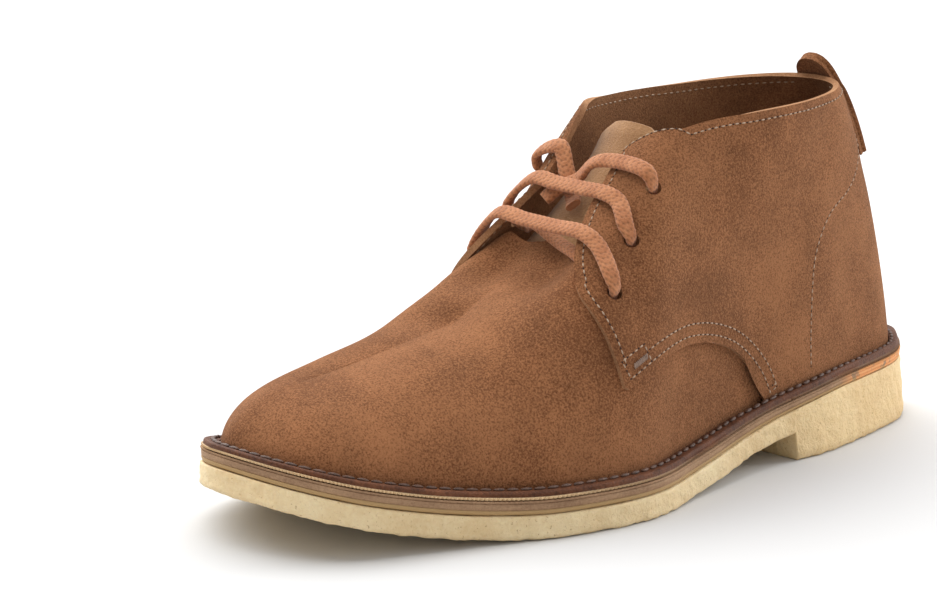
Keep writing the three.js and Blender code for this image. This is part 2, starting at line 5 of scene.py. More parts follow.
import bpy
import numpy as np
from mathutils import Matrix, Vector
from mathutils.bvhtree import BVHTree
from mathutils.geometry import closest_point_on_tri


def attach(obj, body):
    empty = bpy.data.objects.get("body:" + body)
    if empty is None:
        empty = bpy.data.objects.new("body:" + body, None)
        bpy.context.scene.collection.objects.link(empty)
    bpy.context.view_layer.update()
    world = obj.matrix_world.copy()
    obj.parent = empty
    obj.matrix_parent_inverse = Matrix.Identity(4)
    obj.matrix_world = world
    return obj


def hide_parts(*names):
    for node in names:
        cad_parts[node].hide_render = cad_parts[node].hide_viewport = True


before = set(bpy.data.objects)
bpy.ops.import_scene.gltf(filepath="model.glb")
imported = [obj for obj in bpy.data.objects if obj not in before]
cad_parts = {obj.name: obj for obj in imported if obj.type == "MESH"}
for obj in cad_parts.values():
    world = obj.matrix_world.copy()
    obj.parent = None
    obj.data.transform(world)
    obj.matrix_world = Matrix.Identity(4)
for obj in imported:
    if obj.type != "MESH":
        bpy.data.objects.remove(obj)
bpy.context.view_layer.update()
bpy.ops.object.select_all(action="DESELECT")


# Studio
# The boot stands on a pale floor in a pale room, under one soft light from above its inner side.
# A small panel lights it from behind. The camera has the photograph's angle,
# a little above the toe and to the outer side.
def plain_material(name, colour, roughness):
    material = bpy.data.materials.new(name)
    material.use_nodes = True
    surface = material.node_tree.nodes["Principled BSDF"]
    surface.inputs["Base Color"].default_value = (*colour, 1)
    surface.inputs["Roughness"].default_value = roughness
    return material


camera_turn, camera_rise = math.radians(48.64), math.radians(11.85)
camera_target, camera_distance = Vector((-0.05766, -0.00818, 0.05)), 0.99972
camera_back = Vector(
    (
        math.sin(camera_turn) * math.cos(camera_rise),
        -math.cos(camera_turn) * math.cos(camera_rise),
        math.sin(camera_rise),
    )
)
camera_data = bpy.data.cameras.new("camera")
camera_data.lens = 110.69
camera_data.sensor_width = 36
camera = bpy.data.objects.new("camera", camera_data)
camera.location = camera_target + camera_back * camera_distance
camera.rotation_euler = camera_back.to_track_quat("Z", "Y").to_euler()
bpy.context.scene.collection.objects.link(camera)
bpy.context.scene.camera = camera

bpy.ops.mesh.primitive_plane_add(size=12, location=(0, 0, 0))
floor = bpy.context.object
floor.name = "floor"
floor.data.materials.append(plain_material("floor_paper", (0.6, 0.6, 0.6), 0.9))

world = bpy.data.worlds.new("studio")
world.use_nodes = True
backdrop = world.node_tree.nodes["Background"]
backdrop.inputs["Color"].default_value = (1, 1, 1, 1)
seen = world.node_tree.nodes.new("ShaderNodeLightPath").outputs["Is Camera Ray"]
glow = world.node_tree.nodes.new("ShaderNodeMapRange")
glow_on_boot, glow_in_view = 0.62, 1.05
glow.inputs["To Min"].default_value = glow_on_boot
glow.inputs["To Max"].default_value = glow_in_view
world.node_tree.links.new(seen, glow.inputs["Value"])
world.node_tree.links.new(glow.outputs["Result"], backdrop.inputs["Strength"])
bpy.context.scene.world = world
bpy.context.scene.view_settings.view_transform = "Standard"


def light_panel(name, place, size, power, target):
    data = bpy.data.lights.new(name, "AREA")
    data.size = size
    data.energy = power
    panel = bpy.data.objects.new(name, data)
    panel.location = place
    aim = Vector(place) - Vector(target)
    panel.rotation_euler = aim.to_track_quat("Z", "Y").to_euler()
    bpy.context.scene.collection.objects.link(panel)


light_panel("panel_back", (0.35, 1.2, 0.5), 0.6, 9, (0, 0.08, 0.06))
key_data = bpy.data.lights.new("key", "SUN")
key_data.energy = 4.5
key_data.angle = math.radians(80)
key = bpy.data.objects.new("key", key_data)
key.rotation_euler = Vector((-0.55, 0.1, 0.83)).to_track_quat("Z", "Y").to_euler()
bpy.context.scene.collection.objects.link(key)


# Crepe sole
# One slab of natural crepe rubber with a heel block, cut to the outline of the last.
# Its edge is ground by hand, so it is a little rough and full of crumbs and specks.
SOLE_LENGTH = 300.0
BALL_WIDTH = 107.0
COLLAR_HEIGHT = 122.0
CLEARANCE = 0.3
ROW_SHIFT = np.array([-2.8783, 0.0, 0.0])
OUTLINE_ALONG = [0.02, 0.07, 0.15, 0.26, 0.38, 0.5, 0.6, 0.7, 0.79, 0.87, 0.94, 0.985]
OUTLINE_OUTER = [0.109, 0.218, 0.293, 0.364, 0.394, 0.476, 0.556, 0.532, 0.446, 0.366, 0.286, 0.133]
OUTLINE_INNER = [0.121, 0.234, 0.299, 0.308, 0.271, 0.29, 0.383, 0.467, 0.505, 0.472, 0.383, 0.234]
TOE_TIP = -0.095
BREAST_BOTTOM, BREAST_TOP = 0.308, 0.3147


def srgb(red, green, blue):
    """A colour as a screen shows it, 0 to 255, made linear."""
    return tuple(((v / 255 + 0.055) / 1.055) ** 2.4 if v > 10 else v / 3295 for v in (red, green, blue))


def smoothstep(t):
    t = np.clip(t, 0.0, 1.0)
    return t * t * (3 - 2 * t)


def to_y(along):
    return SOLE_LENGTH * (0.5 - along)


def to_along(y):
    return 0.5 - y / SOLE_LENGTH


def from_table(places, values, at):
    """A table's values at the given places, joined smoothly from row to row."""
    places, values = np.asarray(places, float), np.asarray(values, float)
    at = np.clip(np.asarray(at, float), places[0], places[-1])
    before, after = np.r_[0, 0 : len(places) - 1], np.r_[1 : len(places), len(places) - 1]
    slopes = (values[after] - values[before]) / (places[after] - places[before])
    i = np.clip(np.searchsorted(places, at) - 1, 0, len(places) - 2)
    span = places[i + 1] - places[i]
    t = (at - places[i]) / span
    ease = t * t * (3 - 2 * t)
    start = t * (1 - t) ** 2 * span * slopes[i]
    end = t * t * (t - 1) * span * slopes[i + 1]
    return values[i] * (1 - ease) + values[i + 1] * ease + start + end


def toe_lift(along):
    return 16.4 * (np.maximum(along - 0.72, 0) / 0.28) ** 1.8


def waist_rise(along):
    return smoothstep((0.57 - along) / 0.38)


def crepe_top(along):
    return toe_lift(along) + 7.7 + 12.9 * waist_rise(along)


def crepe_bottom(along):
    step = smoothstep((along - BREAST_BOTTOM - 0.001) / (BREAST_TOP - BREAST_BOTTOM - 0.002))
    return toe_lift(along) + 12.9 * waist_rise(along) * step


def midsole_top(along):
    return crepe_top(along) + 4.7 - 1.4 * waist_rise(along)


outline_knots = np.array(
    [(0.0, to_y(0))]
    + [(w * BALL_WIDTH, to_y(a)) for a, w in zip(OUTLINE_ALONG, OUTLINE_OUTER)]
    + [(TOE_TIP * BALL_WIDTH, to_y(1))]
    + [(-w * BALL_WIDTH, to_y(a)) for a, w in zip(OUTLINE_ALONG[::-1], OUTLINE_INNER[::-1])]
)


def outline_at(t):
    count = len(outline_knots)
    place = (np.asarray(t, float) % 1.0) * count
    i = np.floor(place).astype(int)
    w = (place - i)[..., None]
    p0, p1, p2, p3 = (outline_knots[(i + k) % count] for k in (-1, 0, 1, 2))
    m1, m2 = (p2 - p0) / 2, (p3 - p1) / 2
    return (
        p1 * (2 * w**3 - 3 * w**2 + 1)
        + m1 * (w**3 - 2 * w**2 + w)
        + p2 * (3 * w**2 - 2 * w**3)
        + m2 * (w**3 - w**2)
    )


def sole_edge(t, inset):
    """Plan-view points moved in from the sole's edge. t runs from the heel round the outer side."""
    point = outline_at(t)
    tangent = outline_at(np.asarray(t) + 0.002) - outline_at(np.asarray(t) - 0.002)
    tangent /= np.linalg.norm(tangent, axis=-1, keepdims=True)
    return point + np.stack([tangent[..., 1], -tangent[..., 0]], -1) * np.asarray(inset)[..., None]


def outline_parameter(along):
    t = np.linspace(0, 0.5, 4000)
    return float(np.interp(along, to_along(outline_at(t)[:, 1]), t))


def mesh_piece(name, points, faces, materials, face_material=None):
    """A piece from points in the part's millimetres, put in the row frame in metres."""
    mesh = bpy.data.meshes.new(name)
    mesh.from_pydata(((np.asarray(points) + ROW_SHIFT) * 0.001).tolist(), [], faces)
    piece = bpy.data.objects.new(name, mesh)
    bpy.context.scene.collection.objects.link(piece)
    for material in materials:
        mesh.materials.append(material)
    if face_material is not None:
        mesh.polygons.foreach_set("material_index", np.asarray(face_material, np.int32))
    return piece


def tidy_mesh(piece, merge=1e-6, sharp=40):
    """Welds shared corners, turns every face outwards and smooths all but the sharp edges."""
    bpy.ops.object.select_all(action="DESELECT")
    piece.select_set(True)
    bpy.context.view_layer.objects.active = piece
    bpy.ops.object.mode_set(mode="EDIT")
    bpy.ops.mesh.select_all(action="SELECT")
    bpy.ops.mesh.remove_doubles(threshold=merge)
    bpy.ops.mesh.normals_make_consistent(inside=False)
    bpy.ops.object.mode_set(mode="OBJECT")
    bpy.ops.object.shade_smooth_by_angle(angle=math.radians(sharp))
    piece.select_set(False)


def apply_modifier(piece, kind, **settings):
    modifier = piece.modifiers.new(kind.lower(), kind)
    for key, value in settings.items():
        setattr(modifier, key, value)
    bpy.ops.object.select_all(action="DESELECT")
    piece.select_set(True)
    bpy.context.view_layer.objects.active = piece
    bpy.ops.object.modifier_apply(modifier=modifier.name)
    piece.select_set(False)


def sole_parameters(half_count):
    half = np.linspace(0, 0.5, half_count + 1)
    half = np.sort(np.r_[half, outline_parameter(BREAST_BOTTOM), outline_parameter(BREAST_TOP)])
    return np.r_[half, 1 - half[-2:0:-1]]


def ring_faces(count, levels, closed=False):
    faces = []
    for level in range(levels if closed else levels - 1):
        low, high = level * count, ((level + 1) % levels) * count
        faces += [(low + i, low + (i + 1) % count, high + (i + 1) % count, high + i) for i in range(count)]
    return faces


def sole_slab(name, rings, materials):
    """A slab of the sole through rings, lowest first, closed by strips across its bottom and top."""
    count = len(rings[0])
    faces = ring_faces(count, len(rings))
    for base in (0, (len(rings) - 1) * count):
        for i in range(count // 2):
            quad = (base + i, base + i + 1, base + count - i - 1, base + (count - i) % count)
            faces.append(tuple(dict.fromkeys(quad)))
    return mesh_piece(name, np.concatenate(rings), faces, materials)


def sole_ring(parameters, inset, height):
    along = to_along(outline_at(parameters)[:, 1])
    plan = sole_edge(parameters, inset(along) if callable(inset) else np.full(len(parameters), inset))
    return np.c_[plan, height(to_along(plan[:, 1]))]


def node(tree, kind, inputs=None, **settings):
    """A shader node with its settings, and each input given a value or joined to another node's output."""
    made = tree.nodes.new(kind)
    for key, value in settings.items():
        setattr(made, key, value)
    for key, value in (inputs or {}).items():
        if isinstance(value, bpy.types.NodeSocket):
            tree.links.new(value, made.inputs[key])
        else:
            made.inputs[key].default_value = value
    return made


def mixed(tree, factor, first, second, blend="MIX"):
    made = tree.nodes.new("ShaderNodeMix")
    made.data_type = "RGBA"
    made.blend_type = blend
    for socket, value in ((made.inputs[0], factor), (made.inputs[6], first), (made.inputs[7], second)):
        if isinstance(value, bpy.types.NodeSocket):
            tree.links.new(value, socket)
        else:
            socket.default_value = value
    return made.outputs[2]


def math_node(tree, operation, first, second=0.5):
    made = tree.nodes.new("ShaderNodeMath")
    made.operation = operation
    for socket, value in zip(made.inputs, (first, second)):
        if isinstance(value, bpy.types.NodeSocket):
            tree.links.new(value, socket)
        else:
            socket.default_value = value
    return made.outputs[0]


def noise(tree, coordinates, scale, detail=3.0, roughness=0.55):
    values = {"Vector": coordinates, "Scale": scale, "Detail": detail, "Roughness": roughness}
    return node(tree, "ShaderNodeTexNoise", values).outputs["Fac"]


def stretched(tree, value, low, high, to_low=0.0, to_high=1.0):
    values = {"Value": value, "From Min": low, "From Max": high, "To Min": to_low, "To Max": to_high}
    return node(tree, "ShaderNodeMapRange", values).outputs["Result"]


def effect_group(name, inputs, outputs):
    """An empty shader group with named inputs and outputs, and its two end nodes."""
    group = bpy.data.node_groups.new(name, "ShaderNodeTree")
    for label, kind in inputs:
        group.interface.new_socket(name=label, in_out="INPUT", socket_type=kind)
    for label, kind in outputs:
        group.interface.new_socket(name=label, in_out="OUTPUT", socket_type=kind)
    return group, group.nodes.new("NodeGroupInput"), group.nodes.new("NodeGroupOutput")


def grain_group():
    """Cloudy patches and fine flecks in two tones, with a height for the bump."""
    colour, number = "NodeSocketColor", "NodeSocketFloat"
    group, given, put_out = effect_group(
        "patchy_grain",
        [("Dark", colour), ("Light", colour), ("Patch", number), ("Fleck", number), ("Contrast", number)],
        [("Colour", colour), ("Height", number)],
    )
    place = group.nodes.new("ShaderNodeTexCoord").outputs["Object"]
    patch = node(
        group,
        "ShaderNodeTexNoise",
        {"Vector": place, "Scale": given.outputs["Patch"], "Detail": 4.0, "Roughness": 0.6},
    ).outputs["Fac"]
    fleck = node(
        group,
        "ShaderNodeTexNoise",
        {"Vector": place, "Scale": given.outputs["Fleck"], "Detail": 3.0, "Roughness": 0.75},
    ).outputs["Fac"]
    tone = stretched(group, patch, 0.24, 0.76)
    speck = math_node(group, "MULTIPLY", math_node(group, "SUBTRACT", fleck, 0.5), given.outputs["Contrast"])
    tone = node(group, "ShaderNodeClamp", {"Value": math_node(group, "ADD", tone, speck)}).outputs[0]
    made = mixed(group, tone, given.outputs["Dark"], given.outputs["Light"])
    group.links.new(made, put_out.inputs["Colour"])
    group.links.new(fleck, put_out.inputs["Height"])
    return group


patchy_grain = grain_group()


def grain(tree, dark, light, patch, fleck, contrast):
    made = tree.nodes.new("ShaderNodeGroup")
    made.node_tree = patchy_grain
    tones = (("Dark", (*dark, 1)), ("Light", (*light, 1)))
    for key, value in tones + (("Patch", patch), ("Fleck", fleck), ("Contrast", contrast)):
        made.inputs[key].default_value = value
    return made


def begin_material(name, roughness):
    material = bpy.data.materials.new(name)
    material.use_nodes = True
    tree = material.node_tree
    surface = tree.nodes["Principled BSDF"]
    surface.inputs["Roughness"].default_value = roughness
    return material, tree, surface


def finish_surface(tree, surface, colour, height, distance, strength=1.0):
    tree.links.new(colour, surface.inputs["Base Color"])
    bump = node(tree, "ShaderNodeBump", {"Height": height, "Strength": strength, "Distance": distance})
    tree.links.new(bump.outputs["Normal"], surface.inputs["Normal"])


def crepe_material():
    material, tree, surface = begin_material("crepe_rubber", 0.62)
    place = tree.nodes.new("ShaderNodeTexCoord").outputs["Object"]
    base = grain(tree, srgb(220, 190, 142), srgb(240, 220, 178), 38.0, 620.0, 1.1)
    heel = node(tree, "ShaderNodeSeparateXYZ", {"Vector": place}).outputs["Y"]
    amber = math_node(tree, "MULTIPLY", stretched(tree, heel, 0.02, 0.075), 0.3)
    colour = mixed(tree, amber, base.outputs["Colour"], (*srgb(232, 200, 134), 1), "MULTIPLY")
    speck = stretched(tree, noise(tree, place, 1050.0, 2.0, 0.5), 0.66, 0.72)
    colour = mixed(tree, math_node(tree, "MULTIPLY", speck, 0.55), colour, (*srgb(150, 108, 58), 1))
    pit = noise(tree, place, 260.0, 4.0, 0.7)
    surface.inputs["Subsurface Weight"].default_value = 0.12
    surface.inputs["Subsurface Radius"].default_value = (0.004, 0.003, 0.0015)
    surface.inputs["Specular IOR Level"].default_value = 0.3
    finish_surface(tree, surface, colour, math_node(tree, "ADD", pit, base.outputs["Height"]), 0.0006)
    return material


def heel_flare(along):
    return 2.4 * smoothstep((0.36 - along) / 0.1) * smoothstep(along / 0.08)


def crepe_side(share, inset):
    def height(along):
        return crepe_bottom(along) * (1 - share) + crepe_top(along) * share

    return lambda parameters: sole_ring(
        parameters, lambda a: inset - heel_flare(a) * (1 - share) ** 1.3, height
    )


crepe_levels = [(0.0, 1.5), (0.02, 0.8), (0.07, 0.25), (0.14, 0.02)]
crepe_levels += [(share, 0.5 * share - 0.05) for share in np.linspace(0.24, 0.92, 8)]
crepe_levels += [(0.97, 0.62), (1.0, 1.0)]
crepe_parameters = sole_parameters(300)
crepe_sole = sole_slab(
    "crepe_sole",
    [crepe_side(share, inset)(crepe_parameters) for share, inset in crepe_levels],
    [crepe_material()],
)
tidy_mesh(crepe_sole, sharp=50)
crumbs = crepe_sole.vertex_groups.new(name="ground_edge")
side_start = len(crepe_parameters)
crumbs.add(list(range(0, len(crepe_sole.data.vertices) - side_start)), 1.0, "REPLACE")
crumb_texture = bpy.data.textures.new("crepe_crumb", "CLOUDS")
crumb_texture.noise_scale = 0.0042
crumb_texture.noise_depth = 3
apply_modifier(
    crepe_sole,
    "DISPLACE",
    texture=crumb_texture,
    texture_coords="LOCAL",
    vertex_group="ground_edge",
    strength=0.0013,
    mid_level=0.55,
)
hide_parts("outsole")
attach(crepe_sole, "root")


# Midsole
# A leather through-sole between the crepe and the welt, ground flush with the crepe.
# Its pale top edge is wheeled into fine teeth, and at the heel's outer side raw leather shows.
def midsole_material():
    material, tree, surface = begin_material("midsole_leather", 0.7)
    place = tree.nodes.new("ShaderNodeTexCoord").outputs["Object"]
    base = grain(tree, srgb(140, 108, 82), srgb(178, 144, 112), 60.0, 1100.0, 1.8)
    level = node(tree, "ShaderNodeAttribute", attribute_name="edge_level").outputs["Fac"]
    tan = stretched(tree, level, 0.38, 0.3)
    colour = mixed(tree, tan, base.outputs["Colour"], (*srgb(176, 144, 100), 1))
    surface.inputs["Specular IOR Level"].default_value = 0.2
    raw = node(tree, "ShaderNodeSeparateXYZ", {"Vector": place})
    at_heel = stretched(tree, raw.outputs["Y"], 0.082, 0.096)
    outer = stretched(tree, raw.outputs["X"], 0.0, 0.01)
    ragged = stretched(tree, noise(tree, place, 220.0, 3.0, 0.6), 0.36, 0.46)
    patch = math_node(tree, "MULTIPLY", math_node(tree, "MULTIPLY", at_heel, outer), ragged)
    colour = mixed(tree, patch, colour, (*srgb(226, 160, 104), 1))
    finish_surface(tree, surface, colour, base.outputs["Height"], 0.0003)
    return material


def midsole_height(share):
    return lambda a: (crepe_top(a) + CLEARANCE) * (1 - share) + midsole_top(a) * share


midsole_parameters = sole_parameters(440)
midsole_levels = [(0.0, 1.2), (0.06, 0.75), (0.18, 0.55), (0.3, 0.5), (0.36, 0.8), (0.42, 0.5), (0.62, 0.45)]
midsole_levels += [(0.78, 0.45), (0.83, 0.8), (0.89, 0.4), (0.97, 0.45), (1.0, 0.8)]
midsole_rings = []
teeth = 0.16 * np.where(np.arange(len(midsole_parameters)) % 2, 1.0, -1.0)
for share, inset in midsole_levels:
    wheeled = teeth if share > 0.85 else 0.0
    plan = sole_edge(midsole_parameters, inset + 0.25 + wheeled)
    midsole_rings.append(np.c_[plan, midsole_height(share)(to_along(plan[:, 1]))])
midsole_band = sole_slab("midsole_band", midsole_rings, [midsole_material()])
edge_level = midsole_band.data.attributes.new("edge_level", "FLOAT", "POINT")
edge_level.data.foreach_set(
    "value", np.repeat([s for s, _ in midsole_levels], len(midsole_parameters)).astype(np.float32)
)
tidy_mesh(midsole_band, sharp=60)
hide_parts("midsole")
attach(midsole_band, "root")


# Welt
# A narrow strip of dark leather on the midsole, turned up a little behind the heel.
# It is sewn down all round with thick waxed thread, close to the upper.
LAST_INSET = 8.6
VAMP_LEATHER, QUARTER_LEATHER = 1.9, 2.1
QUARTER_INSIDE = VAMP_LEATHER - 0.3
QUARTER_OUTSIDE = QUARTER_INSIDE + QUARTER_LEATHER


def welt_material():
    material, tree, surface = begin_material("welt_leather", 0.6)
    base = grain(tree, srgb(62, 34, 20), srgb(116, 70, 44), 70.0, 900.0, 1.6)
    surface.inputs["Specular IOR Level"].default_value = 0.2
    place = tree.nodes.new("ShaderNodeTexCoord").outputs["Object"]
    ahead = node(tree, "ShaderNodeSeparateXYZ", {"Vector": place}).outputs["Y"]
    wheeled = node(tree, "ShaderNodeAttribute", attribute_name="wheeled_edge").outputs["Fac"]
    pale = math_node(tree, "MULTIPLY", wheeled, stretched(tree, ahead, 0.0, -0.07, 0.15, 1.0))
    colour = mixed(tree, pale, base.outputs["Colour"], (*srgb(214, 182, 140), 1))
    finish_surface(tree, surface, colour, base.outputs["Height"], 0.0004)
    return material


def thread_material(name, dark, light, roughness=0.7):
    material, tree, surface = begin_material(name, roughness)
    base = grain(tree, dark, light, 500.0, 2600.0, 1.2)
    finish_surface(tree, surface, base.outputs["Colour"], base.outputs["Height"], 0.0002)
    return material


welt_parameters = sole_parameters(480)
welt_along = to_along(outline_at(welt_parameters)[:, 1])
welt_heel = smoothstep((0.3 - welt_along) / 0.3)
welt_behind = smoothstep((0.42 - welt_along) / 0.06)
welt_inner = LAST_INSET - VAMP_LEATHER - (QUARTER_LEATHER - 0.3) * welt_behind - CLEARANCE
wander = 0.18 * np.sin(welt_parameters * 61) + 0.12 * np.sin(welt_parameters * 143 + 1)
welt_section = [
    (1.2, 0.05, 0.0),
    (1.05, 0.35, 0.1),
    (1.1, 0.75, 0.3),
    (1.45, 0.95, 0.4),
    (1.5, 1.7, 0.8),
    (1.8, 2.3, 1.0),
    (2.4, 2.55, 0.8),
    (3.2, 2.5, 0.4),
]
welt_rings = []
welt_teeth = 0.3 * np.where(np.arange(len(welt_parameters)) % 2, 1.0, -1.0)
for inset, up, curl in welt_section:
    wheeled = welt_teeth if up < 0.9 else 0.0
    plan = sole_edge(welt_parameters, inset + wheeled + wander * (up > 0.9))
    rise = midsole_top(to_along(plan[:, 1])) + CLEARANCE + up + 1.6 * curl * welt_heel
    welt_rings.append(np.c_[plan, rise])
for up in (2.45, 0.05):
    plan = sole_edge(welt_parameters, welt_inner)
    welt_rings.append(np.c_[plan, midsole_top(to_along(plan[:, 1])) + CLEARANCE + up])
welt_strip = mesh_piece(
    "welt_strip",
    np.concatenate(welt_rings),
    ring_faces(len(welt_parameters), len(welt_rings), closed=True),
    [welt_material()],
)
wheeled_edge = welt_strip.data.attributes.new("wheeled_edge", "FLOAT", "POINT")
pale_rings = [1.0 if up < 0.9 else 0.0 for _, up, _ in welt_section] + [0.0, 0.0]
wheeled_edge.data.foreach_set("value", np.repeat(pale_rings, len(welt_parameters)).astype(np.float32))
tidy_mesh(welt_strip, sharp=60)
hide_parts("welt")
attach(welt_strip, "root")


def spread_evenly(points, pitch):
    """Points at an even pitch along a line, with the line's direction at each."""
    points = np.asarray(points, float)
    lengths = np.r_[0, np.cumsum(np.linalg.norm(np.diff(points, axis=0), axis=1))]
    at = np.linspace(0, lengths[-1], max(int(lengths[-1] / pitch), 2) + 1)
    at = (at[1:] + at[:-1]) / 2

    def on_line(d):
        return np.stack([np.interp(d, lengths, points[:, k]) for k in range(3)], -1)

    direction = on_line(at + 0.3) - on_line(at - 0.3)
    return on_line(at), direction / np.linalg.norm(direction, axis=1, keepdims=True)


def stitch_shape():
    """One stitch: a fat lens of thread, a unit long, wide and high."""
    bpy.ops.mesh.primitive_uv_sphere_add(segments=8, ring_count=6, radius=0.5)
    shape = bpy.context.object
    points = np.array([v.co for v in shape.data.vertices])[:, [2, 0, 1]]
    faces = [tuple(p.vertices) for p in shape.data.polygons]
    bpy.data.objects.remove(shape)
    points[:, 0] = np.sign(points[:, 0]) * np.abs(points[:, 0] * 2) ** 1.25 / 2
    return points, faces


stitch_points, stitch_faces = stitch_shape()


def sew(name, centres, directions, normals, size, material, turn=0.0):
    """One piece of many stitches. size is each stitch's length, width and height in millimetres."""
    points, faces = [], []
    for centre, direction, normal in zip(centres, directions, normals):
        across = np.cross(normal, direction)
        across /= np.linalg.norm(across)
        direction = direction * math.cos(turn) + across * math.sin(turn)
        across = np.cross(normal, direction)
        axes = np.array([direction * size[0], across * size[1], normal * size[2]])
        base = len(points) * len(stitch_points)
        points.append(stitch_points @ axes + centre)
        faces += [tuple(base + k for k in face) for face in stitch_faces]
    piece = mesh_piece(name, np.concatenate(points), faces, [material])
    tidy_mesh(piece, merge=1e-8, sharp=80)
    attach(piece, "root")
    return piece


STITCH_INSET, STITCH_SHIFT, STITCH_SEAT, STITCH_PITCH = 4.5, 0.9, 2.75, 4.5


def welt_seam_inset(along):
    """The seam keeps close to the upper, so it moves out where the quarters lie over the vamp."""
    return STITCH_INSET - STITCH_SHIFT * smoothstep((0.42 - along) / 0.06)


seam_line = sole_ring(np.linspace(0, 1, 1200), welt_seam_inset, midsole_top)
seam_line[:, 2] += CLEARANCE + STITCH_SEAT
welt_places, welt_directions = spread_evenly(seam_line, STITCH_PITCH)
sew(
    "welt_stitches",
    welt_places,
    welt_directions,
    np.tile([0.0, 0.0, 1.0], (len(welt_places), 1)),
    (4.3, 1.7, 1.3),
    thread_material("waxed_thread", srgb(46, 28, 20), srgb(104, 66, 44), 0.5),
    turn=0.16,
)


# Insole
# A board of natural leather that the foot stands on, fixed to the midsole inside the upper.
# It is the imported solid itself, with the finish of worn vegetable-tanned leather.
def insole_material():
    material, tree, surface = begin_material("insole_leather", 0.6)
    base = grain(tree, srgb(140, 100, 62), srgb(186, 146, 100), 30.0, 700.0, 0.6)
    finish_surface(tree, surface, base.outputs["Colour"], base.outputs["Height"], 0.0002)
    return material


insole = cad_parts["insole"]
insole.data.materials.clear()
insole.data.materials.append(insole_material())


# Last
# The upper is pulled over a last, so its leather follows one smooth foot-shaped surface.
# rib runs from the back seam to the toe, share from the welt to the top line.
TOP_RIB = [0, 0.077, 0.154, 0.231, 0.308, 0.385, 0.45, 0.5, 0.54, 0.615, 0.692, 0.769, 0.846, 0.923, 1]
TOP_ALONG = [
    0.155, 0.162, 0.183, 0.223, 0.29, 0.37, 0.427, 0.458, 0.483, 0.602, 0.683, 0.76, 0.82, 0.86, 0.88,
]
TOP_HEIGHT = [1, 1, 1, 0.998, 0.994, 0.992, 0.985, 0.95, 0.86, 0.617, 0.478, 0.42, 0.387, 0.37, 0.364]
TOP_HALF = [0, 0.085, 0.158, 0.224, 0.272, 0.282, 0.21, 0.12, 0, 0, 0, 0, 0, 0, 0]
TOP_CENTRE = [0, 0, 0, 0, 0, 0, 0, 0, 0, -0.015, -0.04, -0.065, -0.085, -0.095, -0.095]
TOP_FULL = [1.26, 1.26, 1.24, 1.26, 1.35, 1.5, 1.6, 1.72, 1.82, 1.95, 2, 2.05, 2.1, 2.15, 2.2]
CREST_RIB = 0.54


def last_point(side, rib, share):
    """Points of the last. Past the toe, the back seam or the crest they carry on down the other side."""
    side, rib, share = (np.array(v, float) for v in np.broadcast_arrays(side, rib, share))
    crossed = (rib > 1) | (rib < 0)
    rib = np.where(rib > 1, 2 - rib, np.abs(rib))
    over = (share > 1) & (rib >= CREST_RIB)
    share = np.where(share > 1, np.where(over, 2 - share, 1.0), share)
    side = np.where(crossed ^ over, -side, side)
    foot = sole_edge(np.where(side > 0, rib / 2, 1 - rib / 2), np.full(rib.shape, LAST_INSET))
    foot_height = midsole_top(to_along(foot[..., 1])) + CLEARANCE
    half = np.where(rib < CREST_RIB, np.maximum(from_table(TOP_RIB, TOP_HALF, rib), 0), 0)
    power = 2 / from_table(TOP_RIB, TOP_FULL, rib)
    angle = np.clip(share, 0, 1) * math.pi / 2
    inward = 1 - np.cos(angle) ** power
    upward = np.sin(angle) ** power
    top_x = (from_table(TOP_RIB, TOP_CENTRE, rib) + side * half) * BALL_WIDTH
    top_y = to_y(from_table(TOP_RIB, TOP_ALONG, rib))
    top_z = from_table(TOP_RIB, TOP_HEIGHT, rib) * COLLAR_HEIGHT
    return np.stack(
        [
            foot[..., 0] + (top_x - foot[..., 0]) * inward,
            foot[..., 1] + (top_y - foot[..., 1]) * inward,
            foot_height + (top_z - foot_height) * upward,
        ],
        -1,
    )


def last_normal(side, rib, share):
    """The way out of the last. At the collar it stays as it is a little below the rim."""
    side, rib, share = np.broadcast_arrays(side, rib, share)
    limit = 0.9 + 0.1 * smoothstep((rib - 0.46) / 0.08)
    limit = np.where(rib > 0.98, 0.98, limit)
    firm = np.clip(np.minimum(share, limit), 0.03, 1.0)
    across = last_point(side, rib + 0.006, firm) - last_point(side, rib - 0.006, firm)
    up = last_point(side, rib, firm + 0.012) - last_point(side, rib, firm - 0.012)
    out = np.cross(across, up) * -np.asarray(side)[..., None]
    out[..., 0] *= (share < 0.9995) | (rib < CREST_RIB)
    return out / np.linalg.norm(out, axis=-1, keepdims=True)


def off_last(side, rib, share, distance):
    """Points at a distance outside the last, with the feet of the upper flat on the midsole."""
    at = last_point(side, rib, share) + last_normal(side, rib, share) * np.asarray(distance)[..., None]
    seat = midsole_top(to_along(at[..., 1])) + CLEARANCE
    near_foot = 1 - smoothstep(np.asarray(share) / 0.05)
    at[..., 2] += (seat - at[..., 2]) * near_foot
    return at


